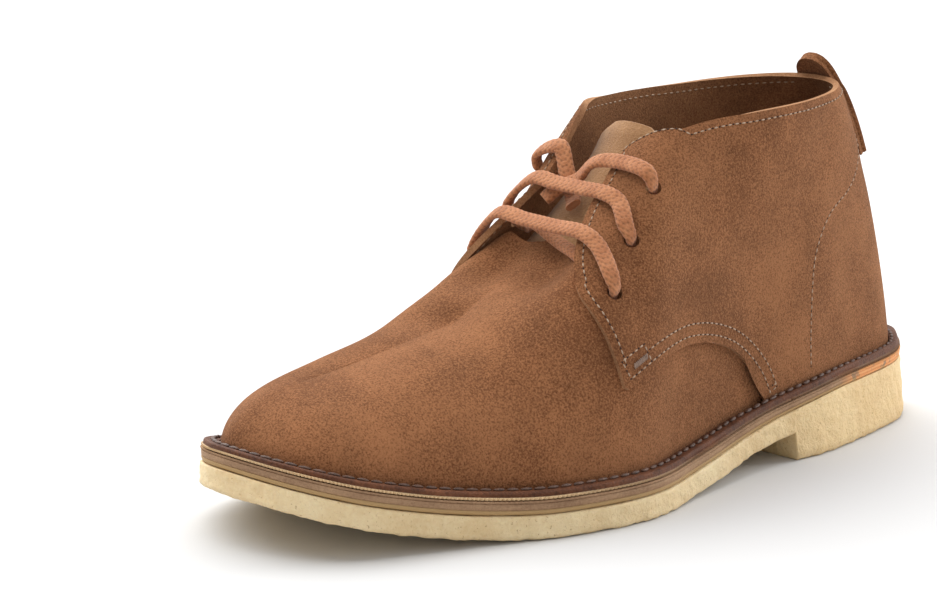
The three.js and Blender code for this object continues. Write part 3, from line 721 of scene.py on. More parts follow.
def find_on_last(side, goals, axes, distance, first_rib=0.25):
    """The rib and share of points whose two given coordinates are the goals."""
    goals = np.asarray(goals, float)
    ribs, shares = np.meshgrid(np.linspace(first_rib, 0.85, 121), np.linspace(0.05, 1, 96), indexing="ij")
    tried = off_last(side, ribs, shares, np.full(ribs.shape, distance))[..., axes].reshape(-1, 2)
    found = []
    for goal in goals:
        k = int(np.argmin(((tried - goal) ** 2).sum(1)))
        found.append((ribs.ravel()[k], shares.ravel()[k]))
    found = np.array(found)
    reach = np.full(len(found), distance)
    for _ in range(12):
        here = off_last(side, found[:, 0], found[:, 1], reach)[:, axes]
        by_rib = (off_last(side, found[:, 0] + 0.002, found[:, 1], reach)[:, axes] - here) / 0.002
        low = np.minimum(found[:, 1], 0.996)
        by_share = (
            off_last(side, found[:, 0], low + 0.004, reach) - off_last(side, found[:, 0], low, reach)
        )[:, axes] / 0.004
        miss = goals - here
        det = by_rib[:, 0] * by_share[:, 1] - by_rib[:, 1] * by_share[:, 0]
        det = np.where(np.abs(det) < 1.0, np.sign(det) + (det == 0), det)
        step = np.stack(
            [
                (miss[:, 0] * by_share[:, 1] - miss[:, 1] * by_share[:, 0]) / det,
                (by_rib[:, 0] * miss[:, 1] - by_rib[:, 1] * miss[:, 0]) / det,
            ],
            -1,
        )
        found += np.clip(step, -0.01, 0.01)
        found[:, 0] = np.maximum(found[:, 0], first_rib)
        found[:, 1] = np.clip(found[:, 1], 0.02, 1.0)
    return found


def even_places(side, path, count, distance):
    """Rib and share at even steps of real length along a path on the last."""
    fine = np.concatenate([np.linspace(a, b, 12, endpoint=False) for a, b in zip(path[:-1], path[1:])])
    fine = np.concatenate([fine, path[-1:]])
    at = off_last(side, fine[:, 0], fine[:, 1], np.full(len(fine), distance))
    lengths = np.r_[0, np.cumsum(np.linalg.norm(np.diff(at, axis=0), axis=1))]
    goal = np.linspace(0, lengths[-1], count)
    return np.stack([np.interp(goal, lengths, fine[:, k]) for k in (0, 1)], -1)


# Soft creases of a boot that has been tried on: each runs between two places on the last,
# with its half width and how far it stands out, below nought for a trough.
CREASES = [
    ((1, 0.655, 0.93), (1, 0.63, 0.5), 7.5, 0.7),
    ((1, 0.7, 0.96), (1, 0.675, 0.45), 6.5, -0.6),
    ((-1, 0.7, 0.96), (-1, 0.665, 0.5), 7.0, -0.55),
    ((1, 0.75, 0.8), (1, 0.72, 0.45), 9.0, 0.45),
    ((-1, 0.64, 0.9), (-1, 0.6, 0.4), 7.0, -0.7),
    ((1, 0.24, 0.9), (1, 0.33, 0.45), 9.0, -0.7),
    ((1, 0.4, 0.92), (1, 0.45, 0.55), 9.0, -0.6),
    ((1, 0.33, 0.95), (1, 0.38, 0.6), 8.0, 0.55),
    ((-1, 0.3, 0.9), (-1, 0.4, 0.5), 9.0, -0.7),
    ((-1, 0.42, 0.85), (-1, 0.44, 0.5), 8.0, 0.5),
    ((1, 0.05, 0.62), (1, 0.2, 0.5), 7.0, -0.45),
    ((1, 0.28, 0.32), (1, 0.4, 0.25), 8.0, 0.4),
]


def crease_depth(points):
    depth = np.zeros(points.shape[:-1])
    for start, end, width, height in CREASES:
        a, b = last_point(*start), last_point(*end)
        t = np.clip(((points - a) @ (b - a)) / ((b - a) @ (b - a)), 0, 1)
        gap = np.linalg.norm(points - (a + t[..., None] * (b - a)), axis=-1)
        depth += height * np.exp(-((gap / width) ** 2))
    return depth


def wall_mesh(name, outer, inner, rims, materials):
    """A wall of leather between two grids of points, closed along the named borders."""
    rows, columns = outer.shape[:2]
    back = rows * columns

    def at(i, j):
        return i * columns + j

    faces, finish = [], []
    for i in range(rows - 1):
        for j in range(columns - 1):
            quad = (at(i, j), at(i + 1, j), at(i + 1, j + 1), at(i, j + 1))
            faces += [quad, tuple(back + k for k in reversed(quad))]
            finish += [0, 2]
    borders = {
        "first_row": [at(0, j) for j in range(columns)],
        "last_row": [at(rows - 1, j) for j in range(columns)],
        "first_column": [at(i, 0) for i in range(rows)],
        "last_column": [at(i, columns - 1) for i in range(rows)],
    }
    for border in rims:
        line = borders[border]
        for a, b in zip(line[:-1], line[1:]):
            faces.append((a, b, back + b, back + a))
            finish.append(1)
    points = np.concatenate([outer.reshape(-1, 3), inner.reshape(-1, 3)])
    return mesh_piece(name, points, faces, materials, finish)


# Suede
# Mid-brown suede about 2 mm thick, with a short nap that brushes lighter and darker.
# Its cut edges are paler, and its flesh side, which shows inside, is rougher.
def suede_material(name, dark, light, fleck=4.2, shade_low=1.0):
    material, tree, surface = begin_material(name, 0.95)
    place = tree.nodes.new("ShaderNodeTexCoord").outputs["Object"]
    base = grain(tree, dark, light, 24.0, 1500.0, fleck)
    brushed = stretched(tree, noise(tree, place, 70.0, 4.0, 0.65), 0.3, 0.7, 0.88, 1.1)
    colour = mixed(tree, 1.0, base.outputs["Colour"], brushed, "MULTIPLY")
    # Painted shade towards the bottom of the boot: below 50 mm up, the colour is multiplied down to
    # shade_low at 18 mm. With shade_low at 1, as every suede here has it, none is painted.
    height = node(tree, "ShaderNodeSeparateXYZ", {"Vector": place}).outputs["Z"]
    low = stretched(tree, height, 0.018, 0.05, shade_low, 1.0)
    colour = mixed(tree, 1.0, colour, low, "MULTIPLY")
    fibre = noise(tree, place, 2600.0, 2.0, 0.7)
    relief = math_node(tree, "ADD", math_node(tree, "MULTIPLY", base.outputs["Height"], 1.2), fibre)
    surface.inputs["Specular IOR Level"].default_value = 0.12
    surface.inputs["Sheen Weight"].default_value = 0.22
    surface.inputs["Sheen Roughness"].default_value = 0.45
    surface.inputs["Sheen Tint"].default_value = (*srgb(232, 190, 150), 1)
    finish_surface(tree, surface, colour, relief, 0.00035, 0.9)
    return material


suede = suede_material("suede_nap", srgb(104, 63, 38), srgb(160, 108, 72))
cut_edge = suede_material("suede_cut_edge", srgb(134, 92, 62), srgb(182, 136, 98), 2.4)
flesh_side = suede_material("suede_flesh_side", srgb(108, 70, 46), srgb(160, 114, 78), 3.0)


# Vamp
# One piece of suede over the toe and the ball, lasted down on to the midsole all round.
# Its back edge runs hidden beneath the quarters, and its middle runs on up over the tongue.
TONGUE_ALONG = [0.7, 0.66, 0.6, 0.55, 0.5, 0.472, 0.458, 0.45]
TONGUE_HEIGHT = [0.45, 0.506, 0.585, 0.69, 0.805, 0.88, 0.93, 0.955]
TONGUE_HALF = [0.13, 0.16, 0.18, 0.18, 0.17, 0.16, 0.135, 0.08]
TONGUE_FALL = [0.025, 0.04, 0.06, 0.065, 0.07, 0.065, 0.045, 0.02]
THROAT_ALONG = [0.425, 0.455, 0.485, 0.515, 0.55, 0.578, 0.603, 0.618, 0.627, 0.63, 0.617]
THROAT_HALF = [0.2, 0.163, 0.141, 0.126, 0.135, 0.165, 0.206, 0.245, 0.285, 0.345, 0.5]


def tongue_top(x, along):
    """Height of the tongue's outside at a place in plan view."""
    order = slice(None, None, -1)
    middle = from_table(TONGUE_ALONG[order], TONGUE_HEIGHT[order], along) * COLLAR_HEIGHT
    half = from_table(TONGUE_ALONG[order], TONGUE_HALF[order], along) * BALL_WIDTH
    fall = from_table(TONGUE_ALONG[order], TONGUE_FALL[order], along) * BALL_WIDTH
    return middle - 0.8 * fall * (x / half) ** 2


def vamp_points(side, rib, share):
    """The vamp's outside, let down on to the tongue in the throat, and its leather's thickness."""
    at = off_last(side, rib, share, np.full(np.shape(rib), VAMP_LEATHER))
    along = to_along(at[..., 1])
    middle = 1 - smoothstep((np.abs(at[..., 0]) - 8) / 20)
    throat = smoothstep((0.7 - along) / 0.09) * middle
    spare = at[..., 2] - (tongue_top(at[..., 0], along) + 1.6)
    at[..., 2] -= throat * np.maximum(spare, 0)
    thickness = VAMP_LEATHER - 0.7 * smoothstep((0.68 - along) / 0.04) * middle
    return at, thickness


HIDDEN_ALONG = [0.59, 0.55, 0.483, 0.4, 0.335, 0.3]
HIDDEN_HEIGHT = [0.462, 0.462, 0.47, 0.43, 0.31, 0.2]
vamp_half = []
for side in (1, -1):
    strip_end = 0.572
    end_goals = [(side * x, to_y(strip_end)) for x in np.linspace(0.3, 19, 8)]
    side_goals = [
        (side * (float(np.interp(a, THROAT_ALONG[:9], THROAT_HALF[:9])) * BALL_WIDTH + 3.2), to_y(a))
        for a in (0.585, 0.6, 0.612)
    ]
    upper_part = find_on_last(side, end_goals + side_goals, [0, 1], VAMP_LEATHER)
    hidden_goals = [(to_y(a), h * COLLAR_HEIGHT) for a, h in zip(HIDDEN_ALONG, HIDDEN_HEIGHT)]
    hidden_part = find_on_last(side, hidden_goals, [1, 2], VAMP_LEATHER)
    rear_rib = 2 * (outline_parameter(0.3) if side > 0 else 0.5 - abs(0.5 - outline_parameter(0.3)))
    rear = np.concatenate([[(upper_part[0, 0], 1.0)], upper_part, hidden_part, [(rear_rib, 0.0)]])
    columns, rows = 132, 66
    rear = even_places(side, rear, rows, VAMP_LEATHER)[::-1]
    foot = even_places(side, np.array([[r, 0.0] for r in np.linspace(1, rear[0, 0], 40)]), columns, 0.0)
    crest = even_places(side, np.array([[r, 1.0] for r in np.linspace(1, rear[-1, 0], 40)]), columns, 0.0)
    toe = even_places(side, np.array([[1.0, s] for s in np.linspace(0, 1, 30)]), rows, 0.0)
    u, v = np.meshgrid(np.linspace(0, 1, columns), np.linspace(0, 1, rows), indexing="ij")
    u, v = u[..., None], v[..., None]
    grid = (
        (1 - v) * foot[:, None]
        + v * crest[:, None]
        + (1 - u) * toe[None]
        + u * rear[None]
        - (1 - u) * (1 - v) * foot[0]
        - u * (1 - v) * foot[-1]
        - (1 - u) * v * crest[0]
        - u * v * crest[-1]
    )
    rib, share = grid[..., 0], np.clip(grid[..., 1], 0, 1)
    outside, thickness = vamp_points(side, rib, share)
    normal = last_normal(side, rib, share)
    outside = outside + normal * crease_depth(outside)[..., None] * smoothstep(share / 0.2)[..., None]
    inside = outside - normal * thickness[..., None]
    inside[:, 0, 2] = outside[:, 0, 2]
    vamp_half.append((outside, inside))
vamp_outer = np.concatenate([vamp_half[1][0], vamp_half[0][0][:, ::-1][:, 1:]], 1)
vamp_inner = np.concatenate([vamp_half[1][1], vamp_half[0][1][:, ::-1][:, 1:]], 1)
vamp = wall_mesh(
    "vamp",
    vamp_outer,
    vamp_inner,
    ["last_row", "first_column", "last_column"],
    [suede, cut_edge, flesh_side],
)
tidy_mesh(vamp, merge=4e-5, sharp=50)
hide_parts("upper")
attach(vamp, "root")


# Quarters
# Two pieces of suede that wrap from the throat round the heel over the vamp's back edge.
# Their fronts are open over the tongue, with three plain punched lace holes a side.
HEM_ALONG = [0.617, 0.55, 0.483, 0.415, 0.364, 0.335]
HEM_HEIGHT = [0.336, 0.392, 0.404, 0.357, 0.258, 0.12]
HOLE_ALONG = [0.593, 0.551, 0.509]
HOLE_HEIGHT = [0.558, 0.678, 0.806]
HOLE_RADIUS = 2.6


def hole_place(side, along, height):
    """A lace hole's place on the last, and the way out of the leather there."""
    goal = np.array([to_y(along), height * COLLAR_HEIGHT])

    def miss(rib, share):
        return np.linalg.norm(last_point(side, rib, share)[..., 1:] - goal, axis=-1)

    ribs, shares = np.meshgrid(np.arange(0.3, 0.75, 0.01), np.arange(0.3, 0.99, 0.02), indexing="ij")
    nearest = int(np.argmin(miss(ribs, shares)))
    rib, share = ribs.ravel()[nearest], shares.ravel()[nearest]
    step = 0.005
    while step > 1e-5:
        for rib_step, share_step in ((step, 0), (-step, 0), (0, step), (0, -step)):
            if miss(rib + rib_step, share + share_step) < miss(rib, share):
                rib, share = rib + rib_step, share + share_step
        step /= 2
    at = last_point(side, rib, share)
    by_rib, by_share = last_point(side, rib + 0.005, share) - at, last_point(side, rib, share + 0.01) - at
    way = np.cross(by_rib, by_share) * -side
    return at, way / np.linalg.norm(way)


LACE_HOLES = [(hole_place(1, a, h), hole_place(-1, a, h)) for a, h in zip(HOLE_ALONG, HOLE_HEIGHT)]


def smooth_path(points, count):
    """A smooth line through a few points."""
    index = np.arange(len(points))
    at = np.linspace(0, len(points) - 1, count)
    points = np.asarray(points, float)
    return np.stack([from_table(index, points[:, k], at) for k in (0, 1)], -1)


def quarter_edges(side):
    """The quarter's top edge and bottom edge as ribs and shares, from the back seam to the front corner."""
    throat = smooth_path([(h * BALL_WIDTH, to_y(a)) for a, h in zip(THROAT_ALONG, THROAT_HALF)], 40)
    throat[:, 0] *= side
    hem = smooth_path([(to_y(a), h * COLLAR_HEIGHT) for a, h in zip(HEM_ALONG, HEM_HEIGHT)], 30)
    throat_places = find_on_last(side, throat, [0, 1], QUARTER_OUTSIDE, 0.45)
    heights = off_last(side, throat_places[:, 0], throat_places[:, 1], np.full(len(throat), QUARTER_OUTSIDE))
    hem_places = find_on_last(side, hem, [1, 2], QUARTER_OUTSIDE)[::-1]
    corner = hem_places[-1]
    below = throat_places[:, 1] < 0.985
    above_corner = heights[:, 2] > HEM_HEIGHT[0] * COLLAR_HEIGHT + 1.5
    throat_places = throat_places[below & above_corner]
    meet = throat_places[0, 0] - 0.012
    collar = np.stack([np.linspace(0, meet, 40), np.ones(40)], -1)
    top = np.concatenate([collar, throat_places, [corner]])
    foot_rib = 2 * outline_parameter(0.335)
    foot = np.stack([np.linspace(0, min(foot_rib, hem_places[0, 0]), 30), np.zeros(30)], -1)
    bottom = np.concatenate([foot, hem_places])
    return top, bottom


quarter_columns, quarter_rows = 172, 76
quarter_top, quarter_bottom, quarter_halves = {}, {}, {}
FRONT_DROP = {1: 0.19, -1: 0.08}


def ease_collar(edge, drop):
    """The collar's front corner let down by a share of the last's height and rounded off."""
    lowered = 1 - drop * smoothstep((edge[:, 0] - 0.3) / 0.2)
    edge[:, 1] = np.where(edge[:, 0] < 0.5, np.minimum(edge[:, 1], lowered), edge[:, 1])
    rounded = [np.convolve(np.pad(edge[:, k], 8, mode="edge"), np.ones(17) / 17, "valid") for k in (0, 1)]
    at_corner = smoothstep((edge[:, :1] - 0.25) / 0.1) * (edge[:, 1:] > 0.6)
    return edge * (1 - at_corner) + np.stack(rounded, -1) * at_corner


for side in (1, -1):
    top, bottom = quarter_edges(side)
    top = even_places(side, top, quarter_columns, QUARTER_OUTSIDE)
    top = ease_collar(top, FRONT_DROP[side])
    bottom = even_places(side, bottom, quarter_columns, QUARTER_OUTSIDE)
    quarter_top[side], quarter_bottom[side] = top, bottom
    v = np.linspace(0, 1, quarter_rows)[None, :, None]
    grid = bottom[:-1, None] * (1 - v) + top[:-1, None] * v
    rib, share = grid[..., 0], np.clip(grid[..., 1], 0, 1)
    normal = last_normal(side, rib, share)
    raw = off_last(side, rib, share, np.full(rib.shape, QUARTER_OUTSIDE))
    bend = crease_depth(raw) * smoothstep(share / 0.2) * smoothstep((0.62 - rib) / 0.06)
    outside = raw + normal * bend[..., None]
    inside = off_last(side, rib, share, np.full(rib.shape, QUARTER_INSIDE)) + normal * bend[..., None]
    quarter_halves[side] = (outside, inside)
quarter_outer = np.concatenate([quarter_halves[-1][0][::-1], quarter_halves[1][0][1:]], 0)
quarter_inner = np.concatenate([quarter_halves[-1][1][::-1], quarter_halves[1][1][1:]], 0)
quarters = wall_mesh(
    "quarters",
    quarter_outer,
    quarter_inner,
    ["first_row", "last_row", "first_column", "last_column"],
    [suede, cut_edge, flesh_side],
)
tidy_mesh(quarters, merge=2e-5, sharp=50)
bpy.ops.object.select_all(action="DESELECT")
punches = []
# Each punch is set to a tenth of a millimetre.
for place, way in (hole for pair in LACE_HOLES for hole in pair):
    place, way = np.round(place, 1), np.round(way, 3)
    at = Vector(place + way * QUARTER_INSIDE + ROW_SHIFT) * 0.001
    bpy.ops.mesh.primitive_cylinder_add(
        vertices=28,
        radius=HOLE_RADIUS * 0.001,
        depth=0.014,
        location=at,
        rotation=Vector(way).to_track_quat("Z", "Y").to_euler(),
    )
    punches.append(bpy.context.object)
for punch in punches:
    punch.select_set(True)
    punch.data.materials.append(cut_edge)
bpy.context.view_layer.objects.active = punches[0]
bpy.ops.object.join()
punch = bpy.context.object
apply_modifier(quarters, "BOOLEAN", operation="DIFFERENCE", object=punch, solver="EXACT")
bpy.data.objects.remove(punch)
tidy_mesh(quarters, merge=1e-7, sharp=42)
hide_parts("upper")
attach(quarters, "root")


# Seams
# Pale linen thread follows the collar, the throat and the quarters' lower edge in small stitches.
# A boxed corner and a bar tack hold the throat's foot, and one more row holds the stiffener.
def surface_tree(grid):
    rows, columns = grid.shape[:2]
    quads = [
        (i * columns + j, (i + 1) * columns + j, (i + 1) * columns + j + 1, i * columns + j + 1)
        for i in range(rows - 1)
        for j in range(columns - 1)
    ]
    return BVHTree.FromPolygons([Vector(p) for p in grid.reshape(-1, 3)], quads)


quarter_skin = surface_tree(quarter_outer)
quarter_lining = surface_tree(quarter_inner)


def seat_line(line, skin, outward_of):
    """A line set down on a skin, with the skin's outward normal at each point."""
    seated, normals = [], []
    for point in line:
        place, normal, _, _ = skin.find_nearest(Vector(point))
        if normal.dot(Vector(point) - Vector(outward_of)) < 0:
            normal = -normal
        seated.append(place)
        normals.append(normal)
    return np.array(seated), np.array(normals)


BOOT_MIDDLE = (0.0, 20.0, 60.0)


def edge_row(side, edge, first, last, inset):
    """A line on the quarter, in from one of its edges, between two shares of that edge's length."""
    count = len(edge)
    places = edge[int(first * count) : max(int(last * count), 2)]
    points = off_last(side, places[:, 0], places[:, 1], np.full(len(places), QUARTER_OUTSIDE))
    normals = last_normal(side, places[:, 0], places[:, 1])
    tangent = np.gradient(points, axis=0)
    inward = np.cross(normals, tangent)
    inward /= np.linalg.norm(inward, axis=1, keepdims=True)
    middle = off_last(side, np.array([0.3]), np.array([0.55]), np.array([QUARTER_OUTSIDE]))
    inward *= np.sign(((middle - points) * inward).sum(1))[:, None]
    kernel = np.ones(5) / 5
    for axis in range(3):
        padded = np.pad(inward[:, axis], 2, mode="edge")
        inward[:, axis] = np.convolve(padded, kernel, "valid")
    return points + inward * inset


PITCH, BOX_PITCH = 2.75, 2.3
SEAM_INSET, SECOND_INSET, BOX_INSET = 2.6, 6.4, 9.0
SEAM_STITCH = (1.5, 0.56, 0.4)
# Each needle hole is a small dark lens laid on the suede: painted shade standing in for the hole.
HOLE_SHADE_MARK = (0.85, 0.6, 0.24)
TACK_STITCH = (2.1, 0.75, 0.6)
linen = thread_material("linen_thread", srgb(150, 122, 98), srgb(200, 174, 148))
painted_hole_shade = plain_material("painted_hole_shade", srgb(44, 26, 16), 0.9)
seam_centres, seam_directions, seam_normals = [], [], []
lining_centres, lining_directions, lining_normals = [], [], []


def add_seam(line, pitch=PITCH):
    seated, _ = seat_line(line, quarter_skin, BOOT_MIDDLE)
    places, directions = spread_evenly(seated, pitch)
    places, normals = seat_line(places, quarter_skin, BOOT_MIDDLE)
    seam_centres.extend(places + normals * 0.08)
    seam_directions.extend(directions)
    seam_normals.extend(normals)
    return places, directions


for side in (1, -1):
    rim_places, rim_directions = add_seam(edge_row(side, quarter_top[side], 0.035, 0.97, 2.9))
    under, under_normals = seat_line(rim_places, quarter_lining, BOOT_MIDDLE)
    lining_centres.extend(under - under_normals * 0.08)
    lining_directions.extend(rim_directions)
    lining_normals.extend(-under_normals)
    add_seam(edge_row(side, quarter_bottom[side], 0.5, 0.985, SEAM_INSET))
    add_seam(edge_row(side, quarter_bottom[side], 0.5, 0.93, SECOND_INSET))
    corner = edge_row(side, quarter_bottom[side], 0.9, 0.985, SEAM_INSET)
    rise = edge_row(side, quarter_bottom[side], 0.9, 0.985, BOX_INSET)
    box = [corner[-1], rise[-1], rise[len(rise) // 3], corner[len(corner) // 3]]
    for start, end in zip(box[:-1], box[1:]):
        add_seam(np.linspace(start, end, 12), BOX_PITCH)

STIFFENER_RIB = [0.06, 0.14, 0.22, 0.268, 0.295, 0.307, 0.31, 0.31]
STIFFENER_SHARE = [0.7, 0.64, 0.555, 0.505, 0.43, 0.335, 0.22, 0.105]
for side in (1, -1):
    row = smooth_path(list(zip(STIFFENER_RIB, STIFFENER_SHARE)), 60)
    add_seam(off_last(side, row[:, 0], row[:, 1], np.full(60, QUARTER_OUTSIDE)))

seam_thread = sew("seam_thread", seam_centres, seam_directions, seam_normals, SEAM_STITCH, linen)
sew("lining_thread", lining_centres, lining_directions, lining_normals, SEAM_STITCH, linen)
# Dark marks at the needle holes between the stitches, painted as the shade in the holes.
hole_ends = [c + d * PITCH / 2 for c, d in zip(seam_centres, seam_directions)]
hole_places, hole_normals = seat_line(hole_ends, quarter_skin, BOOT_MIDDLE)
sew("painted_hole_shades", hole_places, seam_directions, hole_normals, HOLE_SHADE_MARK, painted_hole_shade)

tack_centres, tack_directions, tack_normals = [], [], []
for side in (1, -1):
    row = edge_row(side, quarter_bottom[side], 0.9, 0.975, 5.2)
    seated, normals = seat_line(np.linspace(row[len(row) // 2], row[-2], 9), quarter_skin, BOOT_MIDDLE)
    along_tack = (seated[-1] - seated[0]) / np.linalg.norm(seated[-1] - seated[0])
    for k in range(len(seated)):
        cross = np.cross(normals[k], along_tack)
        tack_centres.append(seated[k] + normals[k] * 0.25)
        tack_directions.append(cross * 0.92 + along_tack * 0.39)
        tack_normals.append(normals[k])
sew(
    "bar_tacks",
    tack_centres,
    tack_directions,
    tack_normals,
    TACK_STITCH,
    thread_material("tack_thread", srgb(112, 88, 74), srgb(160, 134, 116)),
)


# Tongue
# A single tongue of suede, flesh side out, sewn in beneath the vamp and open at its sides.
# It is paler than the upper and rises almost to the collar.
def strap_section(count, half, thickness, groove):
    """Across and depth of points round a strap's cut section."""
    across = np.linspace(-1, 1, count)
    top = [(half * a, 0.0) for a in across]
    edge = [(half, -0.25 * thickness), (half - groove, -0.5 * thickness), (half, -0.75 * thickness)]
    bottom = [(half * a, -thickness) for a in across[::-1]]
    other = [(-a, d) for a, d in edge[::-1]]
    return np.array(top + edge + bottom + other)


def strap_mesh(name, middle, half, fall, thickness, outward, groove, count, materials):
    """A bent strap whose middle line lies in the boot's own plane."""
    tangent = np.gradient(middle, axis=0)
    tangent /= np.linalg.norm(tangent, axis=1, keepdims=True)
    normal = np.cross([1.0, 0.0, 0.0], tangent) * outward
    rings = []
    for k, centre in enumerate(middle):
        section = strap_section(count, half[k], thickness, groove)
        drop = fall[k] * (section[:, 0] / half[k]) ** 2
        ring = centre + np.outer(section[:, 0], [1.0, 0.0, 0.0]) + np.outer(section[:, 1] - drop, normal[k])
        rings.append(ring)
    size = len(rings[0])
    faces = ring_faces(size, len(rings))
    faces += [tuple(range(size)), tuple(range((len(rings) - 1) * size, len(rings) * size))]
    return mesh_piece(name, np.concatenate(rings), faces, materials)


def tongue_material():
    material, tree, surface = begin_material("tongue_suede", 0.95)
    base = grain(tree, srgb(140, 98, 62), srgb(194, 150, 106), 40.0, 1300.0, 0.9)
    surface.inputs["Specular IOR Level"].default_value = 0.1
    surface.inputs["Sheen Weight"].default_value = 0.25
    finish_surface(tree, surface, base.outputs["Colour"], base.outputs["Height"], 0.0005)
    return material


rows = np.linspace(0, 7, 90)
index = np.arange(8)
tongue_middle = np.stack(
    [
        np.zeros(len(rows)),
        to_y(from_table(index, TONGUE_ALONG, rows)),
        from_table(index, TONGUE_HEIGHT, rows) * COLLAR_HEIGHT,
    ],
    -1,
)
tongue = strap_mesh(
    "tongue_suede_flap",
    tongue_middle,
    from_table(index, TONGUE_HALF, rows) * BALL_WIDTH,
    from_table(index, TONGUE_FALL, rows) * BALL_WIDTH,
    2.2,
    1,
    0.0,
    25,
    [tongue_material()],
)
tidy_mesh(tongue, sharp=60)
apply_modifier(
    tongue,
    "BEVEL",
    width=0.0005,
    segments=2,
    limit_method="ANGLE",
    angle_limit=math.radians(50),
)
tidy_mesh(tongue, sharp=60)
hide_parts("tongue")
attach(tongue, "root")


# Pull tab
# A strip of suede folded in two and sewn to the outside of the back seam.
# It stands up behind the collar with a rounded top, and its two layers show at the edge.
TAB_HEIGHT = [0.79, 0.88, 0.96, 1.02, 1.055, 1.075, 1.083]
TAB_HALF = [0.07, 0.074, 0.075, 0.075, 0.066, 0.045, 0.018]
TAB_FALL = [0.014, 0.013, 0.012, 0.011, 0.008, 0.004, 0.001]
TAB_THICKNESS = 3.4


def back_seam(height):
    """Where the outside of the back seam is at a height, carried straight on above the rim."""
    seam = last_point(1, 0, np.linspace(0.3, 1, 200))
    rim, below = last_point(1, 0, 0.98), last_point(1, 0, 0.8)
    lean = (rim[1] - below[1]) / (rim[2] - below[2])
    above_rim = rim[1] + (height - rim[2]) * lean
    base = np.where(height < rim[2], np.interp(height, seam[:, 2], seam[:, 1]), above_rim)
    return base + (QUARTER_OUTSIDE + 3.5 * CLEARANCE) * math.hypot(1, lean)


rows = np.linspace(0, 6, 64)
index = np.arange(7)
tab_height = from_table(index, TAB_HEIGHT, rows) * COLLAR_HEIGHT
pull_tab = strap_mesh(
    "pull_tab_loop",
    np.stack([np.zeros(64), back_seam(tab_height) + 1.08 * TAB_THICKNESS, tab_height], -1),
    from_table(index, TAB_HALF, rows) * BALL_WIDTH,
    from_table(index, TAB_FALL, rows) * BALL_WIDTH,
    TAB_THICKNESS,
    -1,
    0.6,
    21,
    [suede],
)
tidy_mesh(pull_tab, sharp=60)
apply_modifier(
    pull_tab,
    "BEVEL",
    width=0.0005,
    segments=2,
    limit_method="ANGLE",
    angle_limit=math.radians(50),
)
tidy_mesh(pull_tab, sharp=60)
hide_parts("pull_tab")
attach(pull_tab, "root")


# Laces
# A flat cotton braid 6 mm wide in orange-brown: two bars joined by one strand beneath,
# and two ends that leave the top holes, cross on the tongue and tuck in under the upper bar.
LACE_WIDTH, LACE_THICKNESS, WIDTH_IN_HOLE, WIDTH_BENEATH = 5.8, 2.35, 3.8, 4.4
BRAID_STEP, BRAID_PITCH, BRAID_RELIEF = 0.42, 2.2, 0.24
# A stop's place and width are set to a tenth of a millimetre and its facing to a hundredth.
STOP_GRAIN = np.array([0.1, 0.1, 0.1, 0.01, 0.01, 0.01, 0.1])
BAR_REST = QUARTER_OUTSIDE + 2.45
STRAND_REST = QUARTER_INSIDE - 2.55
# How a lace leaves a hole: its distance off the last, how far it has slid towards the throat,
# and the share by which it has turned to lie flat.
HOLE_STOPS = [
    (QUARTER_INSIDE - 4.4, 0.0, 0.0),
    (QUARTER_INSIDE + 0.4, 0.0, 0.0),
    (QUARTER_OUTSIDE + 1.2, 0.8, 0.3),
    (QUARTER_OUTSIDE + 2.8, 4.5, 0.9),
]
# The two ends' routes on the tongue: across in ball widths, along the sole, and off the last.
OUTER_END_ROUTE = [
    (0.12, 0.519, 5.5),
    (0.05, 0.523, 6.2),
    (0.0, 0.529, 6.0),
    (-0.045, 0.541, 3.2),
    (-0.07, 0.555, 1.9),
]
INNER_END_ROUTE = [
    (-0.118, 0.516, 5.7),
    (-0.065, 0.523, 2.0),
    (-0.01, 0.532, 0.9),
    (0.045, 0.55, 1.6),
]
TO_OUTER, TO_INNER = 1, -1


def coarse_last():
    """The last as a sheet of triangles, with the way out at each of its corners."""
    rows, columns = 40, 12
    ribs, shares = np.linspace(0, 1, rows + 1), np.linspace(0, 1, columns + 1)
    ribs[round(CREST_RIB * rows)] = CREST_RIB
    known, points, faces, rim = {}, [], [], []

    def corner(side, i, j):
        shared = i in (0, rows) or (j == columns and ribs[i] >= CREST_RIB)
        key = (1 if shared else side, i, j)
        if key not in known:
            known[key] = len(points)
            rim.append(j == 0 or (j == columns and ribs[i] <= CREST_RIB))
            points.append(last_point(key[0], ribs[i], shares[j]))
        return known[key]

    for side in (1, -1):
        for i in range(rows):
            for j in range(columns):
                quad = [corner(side, *at) for at in ((i, j), (i + 1, j), (i + 1, j + 1), (i, j + 1))]
                first, second, third, fourth = quad if side > 0 else quad[::-1]
                faces += [(first, second, third), (first, third, fourth)]
    points = np.array(points)
    outward = np.zeros_like(points)
    for face in faces:
        a, b, c = points[list(face)]
        outward[list(face)] -= np.cross(b - a, c - a)
    outward[rim, 2] = 0
    return points, np.array(faces), outward / np.linalg.norm(outward, axis=1, keepdims=True)


last_corners, last_faces, last_outward = coarse_last()


def near_last(point):
    """How far a point stands out from the last, and which way is out there."""
    nearest = int(np.argmin(np.linalg.norm(last_corners - point, axis=1)))
    gap, way = math.inf, None
    for face in last_faces[(last_faces == nearest).any(1)]:
        a, b, c = last_corners[face]
        foot = np.array(closest_point_on_tri(*(Vector(v) for v in (point, a, b, c))))
        (second, third), *_ = np.linalg.lstsq(np.stack([b - a, c - a], -1), foot - a, rcond=None)
        normal = np.array([1 - second - third, second, third]) @ last_outward[face]
        away = point - foot
        here = np.linalg.norm(away) * np.sign(away @ normal)
        if abs(here) < abs(gap):
            gap, way = here, normal
    return gap, way


def over(x, along, distance, width=LACE_WIDTH):
    """A lace's stop over a place in plan view, at a distance off the last."""
    at = np.array([x, to_y(along), COLLAR_HEIGHT])
    gap, way = near_last(at)
    while gap > distance:
        at[2] -= 0.2
        gap, way = near_last(at)
    return np.r_[at, way, width]


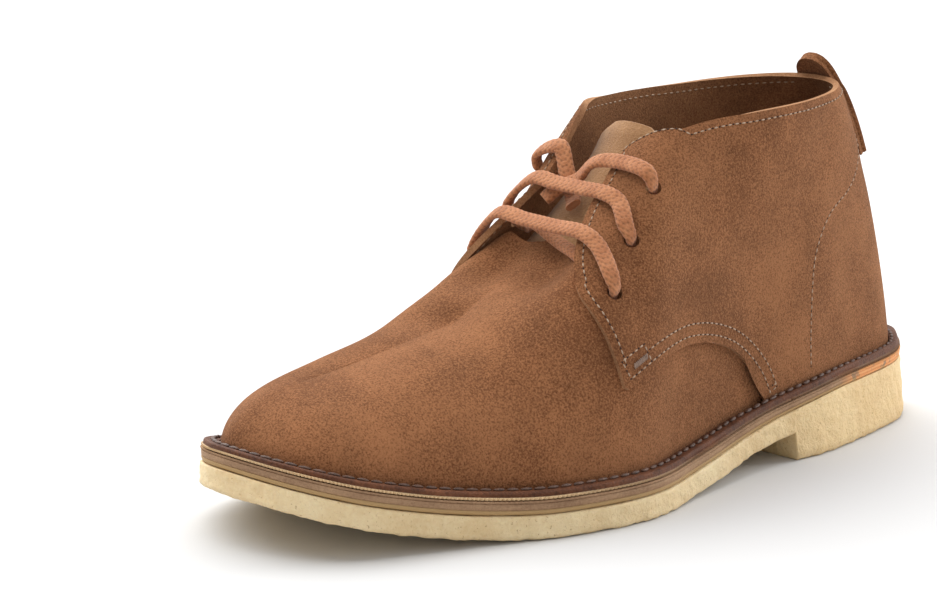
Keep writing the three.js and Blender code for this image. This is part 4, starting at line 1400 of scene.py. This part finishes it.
def out_of_hole(hole, towards):
    """The stops from inside a hole to just outside it, on the way to the other side."""
    place, way = hole
    slide = np.cross([0.0, 1.0, 0.0], way) * towards
    slide /= np.linalg.norm(slide)
    stops = []
    for distance, shift, turned in HOLE_STOPS:
        face = way * turned + np.array([towards, 0.0, 0.0]) * (turned - 1)
        width = WIDTH_IN_HOLE + (LACE_WIDTH - WIDTH_IN_HOLE) * turned
        stops.append(np.r_[place + way * distance + slide * shift, face, width])
    return stops


def bar_stops(row):
    """The stops of a bar: over one quarter's edge, straight across, and over the other's."""
    outer, inner = LACE_HOLES[row]
    start, reach = inner[0][0], outer[0][0] - inner[0][0]
    first, far, last = (over(start + reach * t, HOLE_ALONG[row], BAR_REST) for t in (0.12, 0.78, 0.89))
    return [first, first + (far - first) * 0.33, first + (far - first) * 0.67, far, last]


def lacing_stops():
    """The two bars, and the strand that joins them beneath the quarters."""
    (low_outer, low_inner), (high_outer, high_inner) = LACE_HOLES[:2]
    start, reach = low_outer[0][0], high_inner[0][0] - low_outer[0][0]
    climb = HOLE_ALONG[1] - HOLE_ALONG[0]
    strand = [
        over(start + reach * t, HOLE_ALONG[0] + climb * t + 0.01, STRAND_REST, WIDTH_BENEATH)
        for t in (0.25, 0.5, 0.75)
    ]
    stops = out_of_hole(low_inner, TO_OUTER) + bar_stops(0) + out_of_hole(low_outer, TO_INNER)[::-1]
    stops += strand
    stops += out_of_hole(high_inner, TO_OUTER) + bar_stops(1) + out_of_hole(high_outer, TO_INNER)[::-1]
    return stops


def end_stops(hole, towards, route):
    return out_of_hole(hole, towards) + [over(x * BALL_WIDTH, along, off) for x, along, off in route]


def through_stops(stops, t):
    """Points on the smooth line through the stops, spaced as the stops are."""
    stops = np.asarray(stops, float)
    stops = np.concatenate([[2 * stops[0] - stops[1]], stops, [2 * stops[-1] - stops[-2]]])
    spans = np.linalg.norm(np.diff(stops, axis=0), axis=1) ** 0.5
    place = np.asarray(t) * (len(stops) - 3)
    i = np.minimum(place.astype(int), len(stops) - 4)
    w = (place - i)[:, None]
    p0, p1, p2, p3 = (stops[i + k] for k in range(4))
    middle = np.where(spans[i + 1] < 1e-4, 1.0, spans[i + 1])
    first = np.where(spans[i] < 1e-4, middle, spans[i])[:, None]
    third = np.where(spans[i + 2] < 1e-4, middle, spans[i + 2])[:, None]
    middle = middle[:, None]
    m1 = ((p1 - p0) / first - (p2 - p0) / (first + middle) + (p2 - p1) / middle) * middle
    m2 = ((p2 - p1) / middle - (p3 - p1) / (middle + third) + (p3 - p2) / third) * middle
    return (
        p1 * (2 * w**3 - 3 * w**2 + 1)
        + m1 * (w**3 - 2 * w**2 + w)
        + p2 * (3 * w**2 - 2 * w**3)
        + m2 * (w**3 - w**2)
    )


def braid_material():
    material, tree, surface = begin_material("braided_cotton", 0.85)
    braid = node(tree, "ShaderNodeAttribute", attribute_name="braid_height").outputs["Fac"]
    base = grain(tree, srgb(160, 98, 60), srgb(198, 136, 94), 160.0, 2400.0, 1.0)
    # Painted shade in the braid's valleys and a faint painted highlight on its ridges: the colour is
    # multiplied by 0.5 in the deepest valleys, rising to 1.08 on the ridges.
    painted_valley_shade = stretched(tree, braid, 0.0, 0.75, 0.5, 1.08)
    colour = mixed(tree, 1.0, base.outputs["Colour"], painted_valley_shade, "MULTIPLY")
    surface.inputs["Specular IOR Level"].default_value = 0.2
    surface.inputs["Sheen Weight"].default_value = 0.2
    finish_surface(tree, surface, colour, base.outputs["Height"], 0.0003)
    return material


def braided_lace(name, stops, material):
    """A flat braid through its stops, each a place, the way its flat side faces and its width."""
    stops = np.round(np.asarray(stops, float) / STOP_GRAIN) * STOP_GRAIN
    coarse = through_stops(stops[:, :3], np.linspace(0, 1, 2000))
    lengths = np.r_[0, np.cumsum(np.linalg.norm(np.diff(coarse, axis=0), axis=1))]
    steps = int(lengths[-1] / BRAID_STEP)
    t = np.interp(np.linspace(0, lengths[-1], steps), lengths, np.linspace(0, 1, 2000))
    centre = through_stops(stops[:, :3], t)
    tangent = np.gradient(centre, axis=0)
    tangent /= np.linalg.norm(tangent, axis=1, keepdims=True)
    flat = through_stops(stops[:, 3:6], t)
    flat -= tangent * (flat * tangent).sum(1, keepdims=True)
    flat /= np.linalg.norm(flat, axis=1, keepdims=True)
    across = np.cross(tangent, flat)
    width = from_table(np.arange(len(stops)), stops[:, 6], t * (len(stops) - 1))
    sides = 30
    angle = 2 * math.pi * (np.arange(sides) + 0.5) / sides
    round_x = np.sign(np.cos(angle)) * np.abs(np.cos(angle)) ** 0.75
    round_z = np.sign(np.sin(angle)) * np.abs(np.sin(angle)) ** 0.75
    run = np.linspace(0, lengths[-1], steps)[:, None]
    chevron = np.abs(np.cos(angle))[None] * 2.6
    strands = 0.5 + 0.5 * np.cos(2 * math.pi * (run / BRAID_PITCH + chevron * 0.55))
    weft = 0.5 + 0.5 * np.cos(2 * math.pi * (run / BRAID_PITCH - chevron * 0.55 + 0.5))
    relief = np.maximum(strands, 0.75 * weft)
    lift = BRAID_RELIEF * (relief - 0.5)
    points = (
        centre[:, None]
        + across[:, None] * (round_x[None] * (width[:, None] * 0.48 + lift * 0.5))[..., None]
        + flat[:, None] * (round_z[None] * (LACE_THICKNESS / 2 + lift))[..., None]
    )
    faces = ring_faces(sides, steps)
    faces += [tuple(range(sides)), tuple(range((steps - 1) * sides, steps * sides))]
    piece = mesh_piece(name, points.reshape(-1, 3), faces, [material])
    # The braid's relief is kept on its points, and its material paints shade into the valleys from it.
    height = piece.data.attributes.new("braid_height", "FLOAT", "POINT")
    height.data.foreach_set("value", relief.ravel().astype(np.float32))
    tidy_mesh(piece, merge=1e-7, sharp=60)
    path = ((centre[::4] + ROW_SHIFT) * 0.001).tolist()
    path.append(((centre[-1] + ROW_SHIFT) * 0.001).tolist())
    return piece, path, float(lengths[-1]) * 0.001


braid = braid_material()
lace_bars, _, _ = braided_lace("lace_bars", lacing_stops(), braid)
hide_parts("lacing")
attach(lace_bars, "root")
top_outer, top_inner = LACE_HOLES[2]
for name, stops, cad_name in (
    ("lace_end_near", end_stops(top_outer, TO_INNER, OUTER_END_ROUTE), "lace_end_outer"),
    ("lace_end_far", end_stops(top_inner, TO_OUTER, INNER_END_ROUTE), "lace_end_inner"),
):
    end, path, length = braided_lace(name, stops, braid)
    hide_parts(cad_name)
    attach(end, "root")
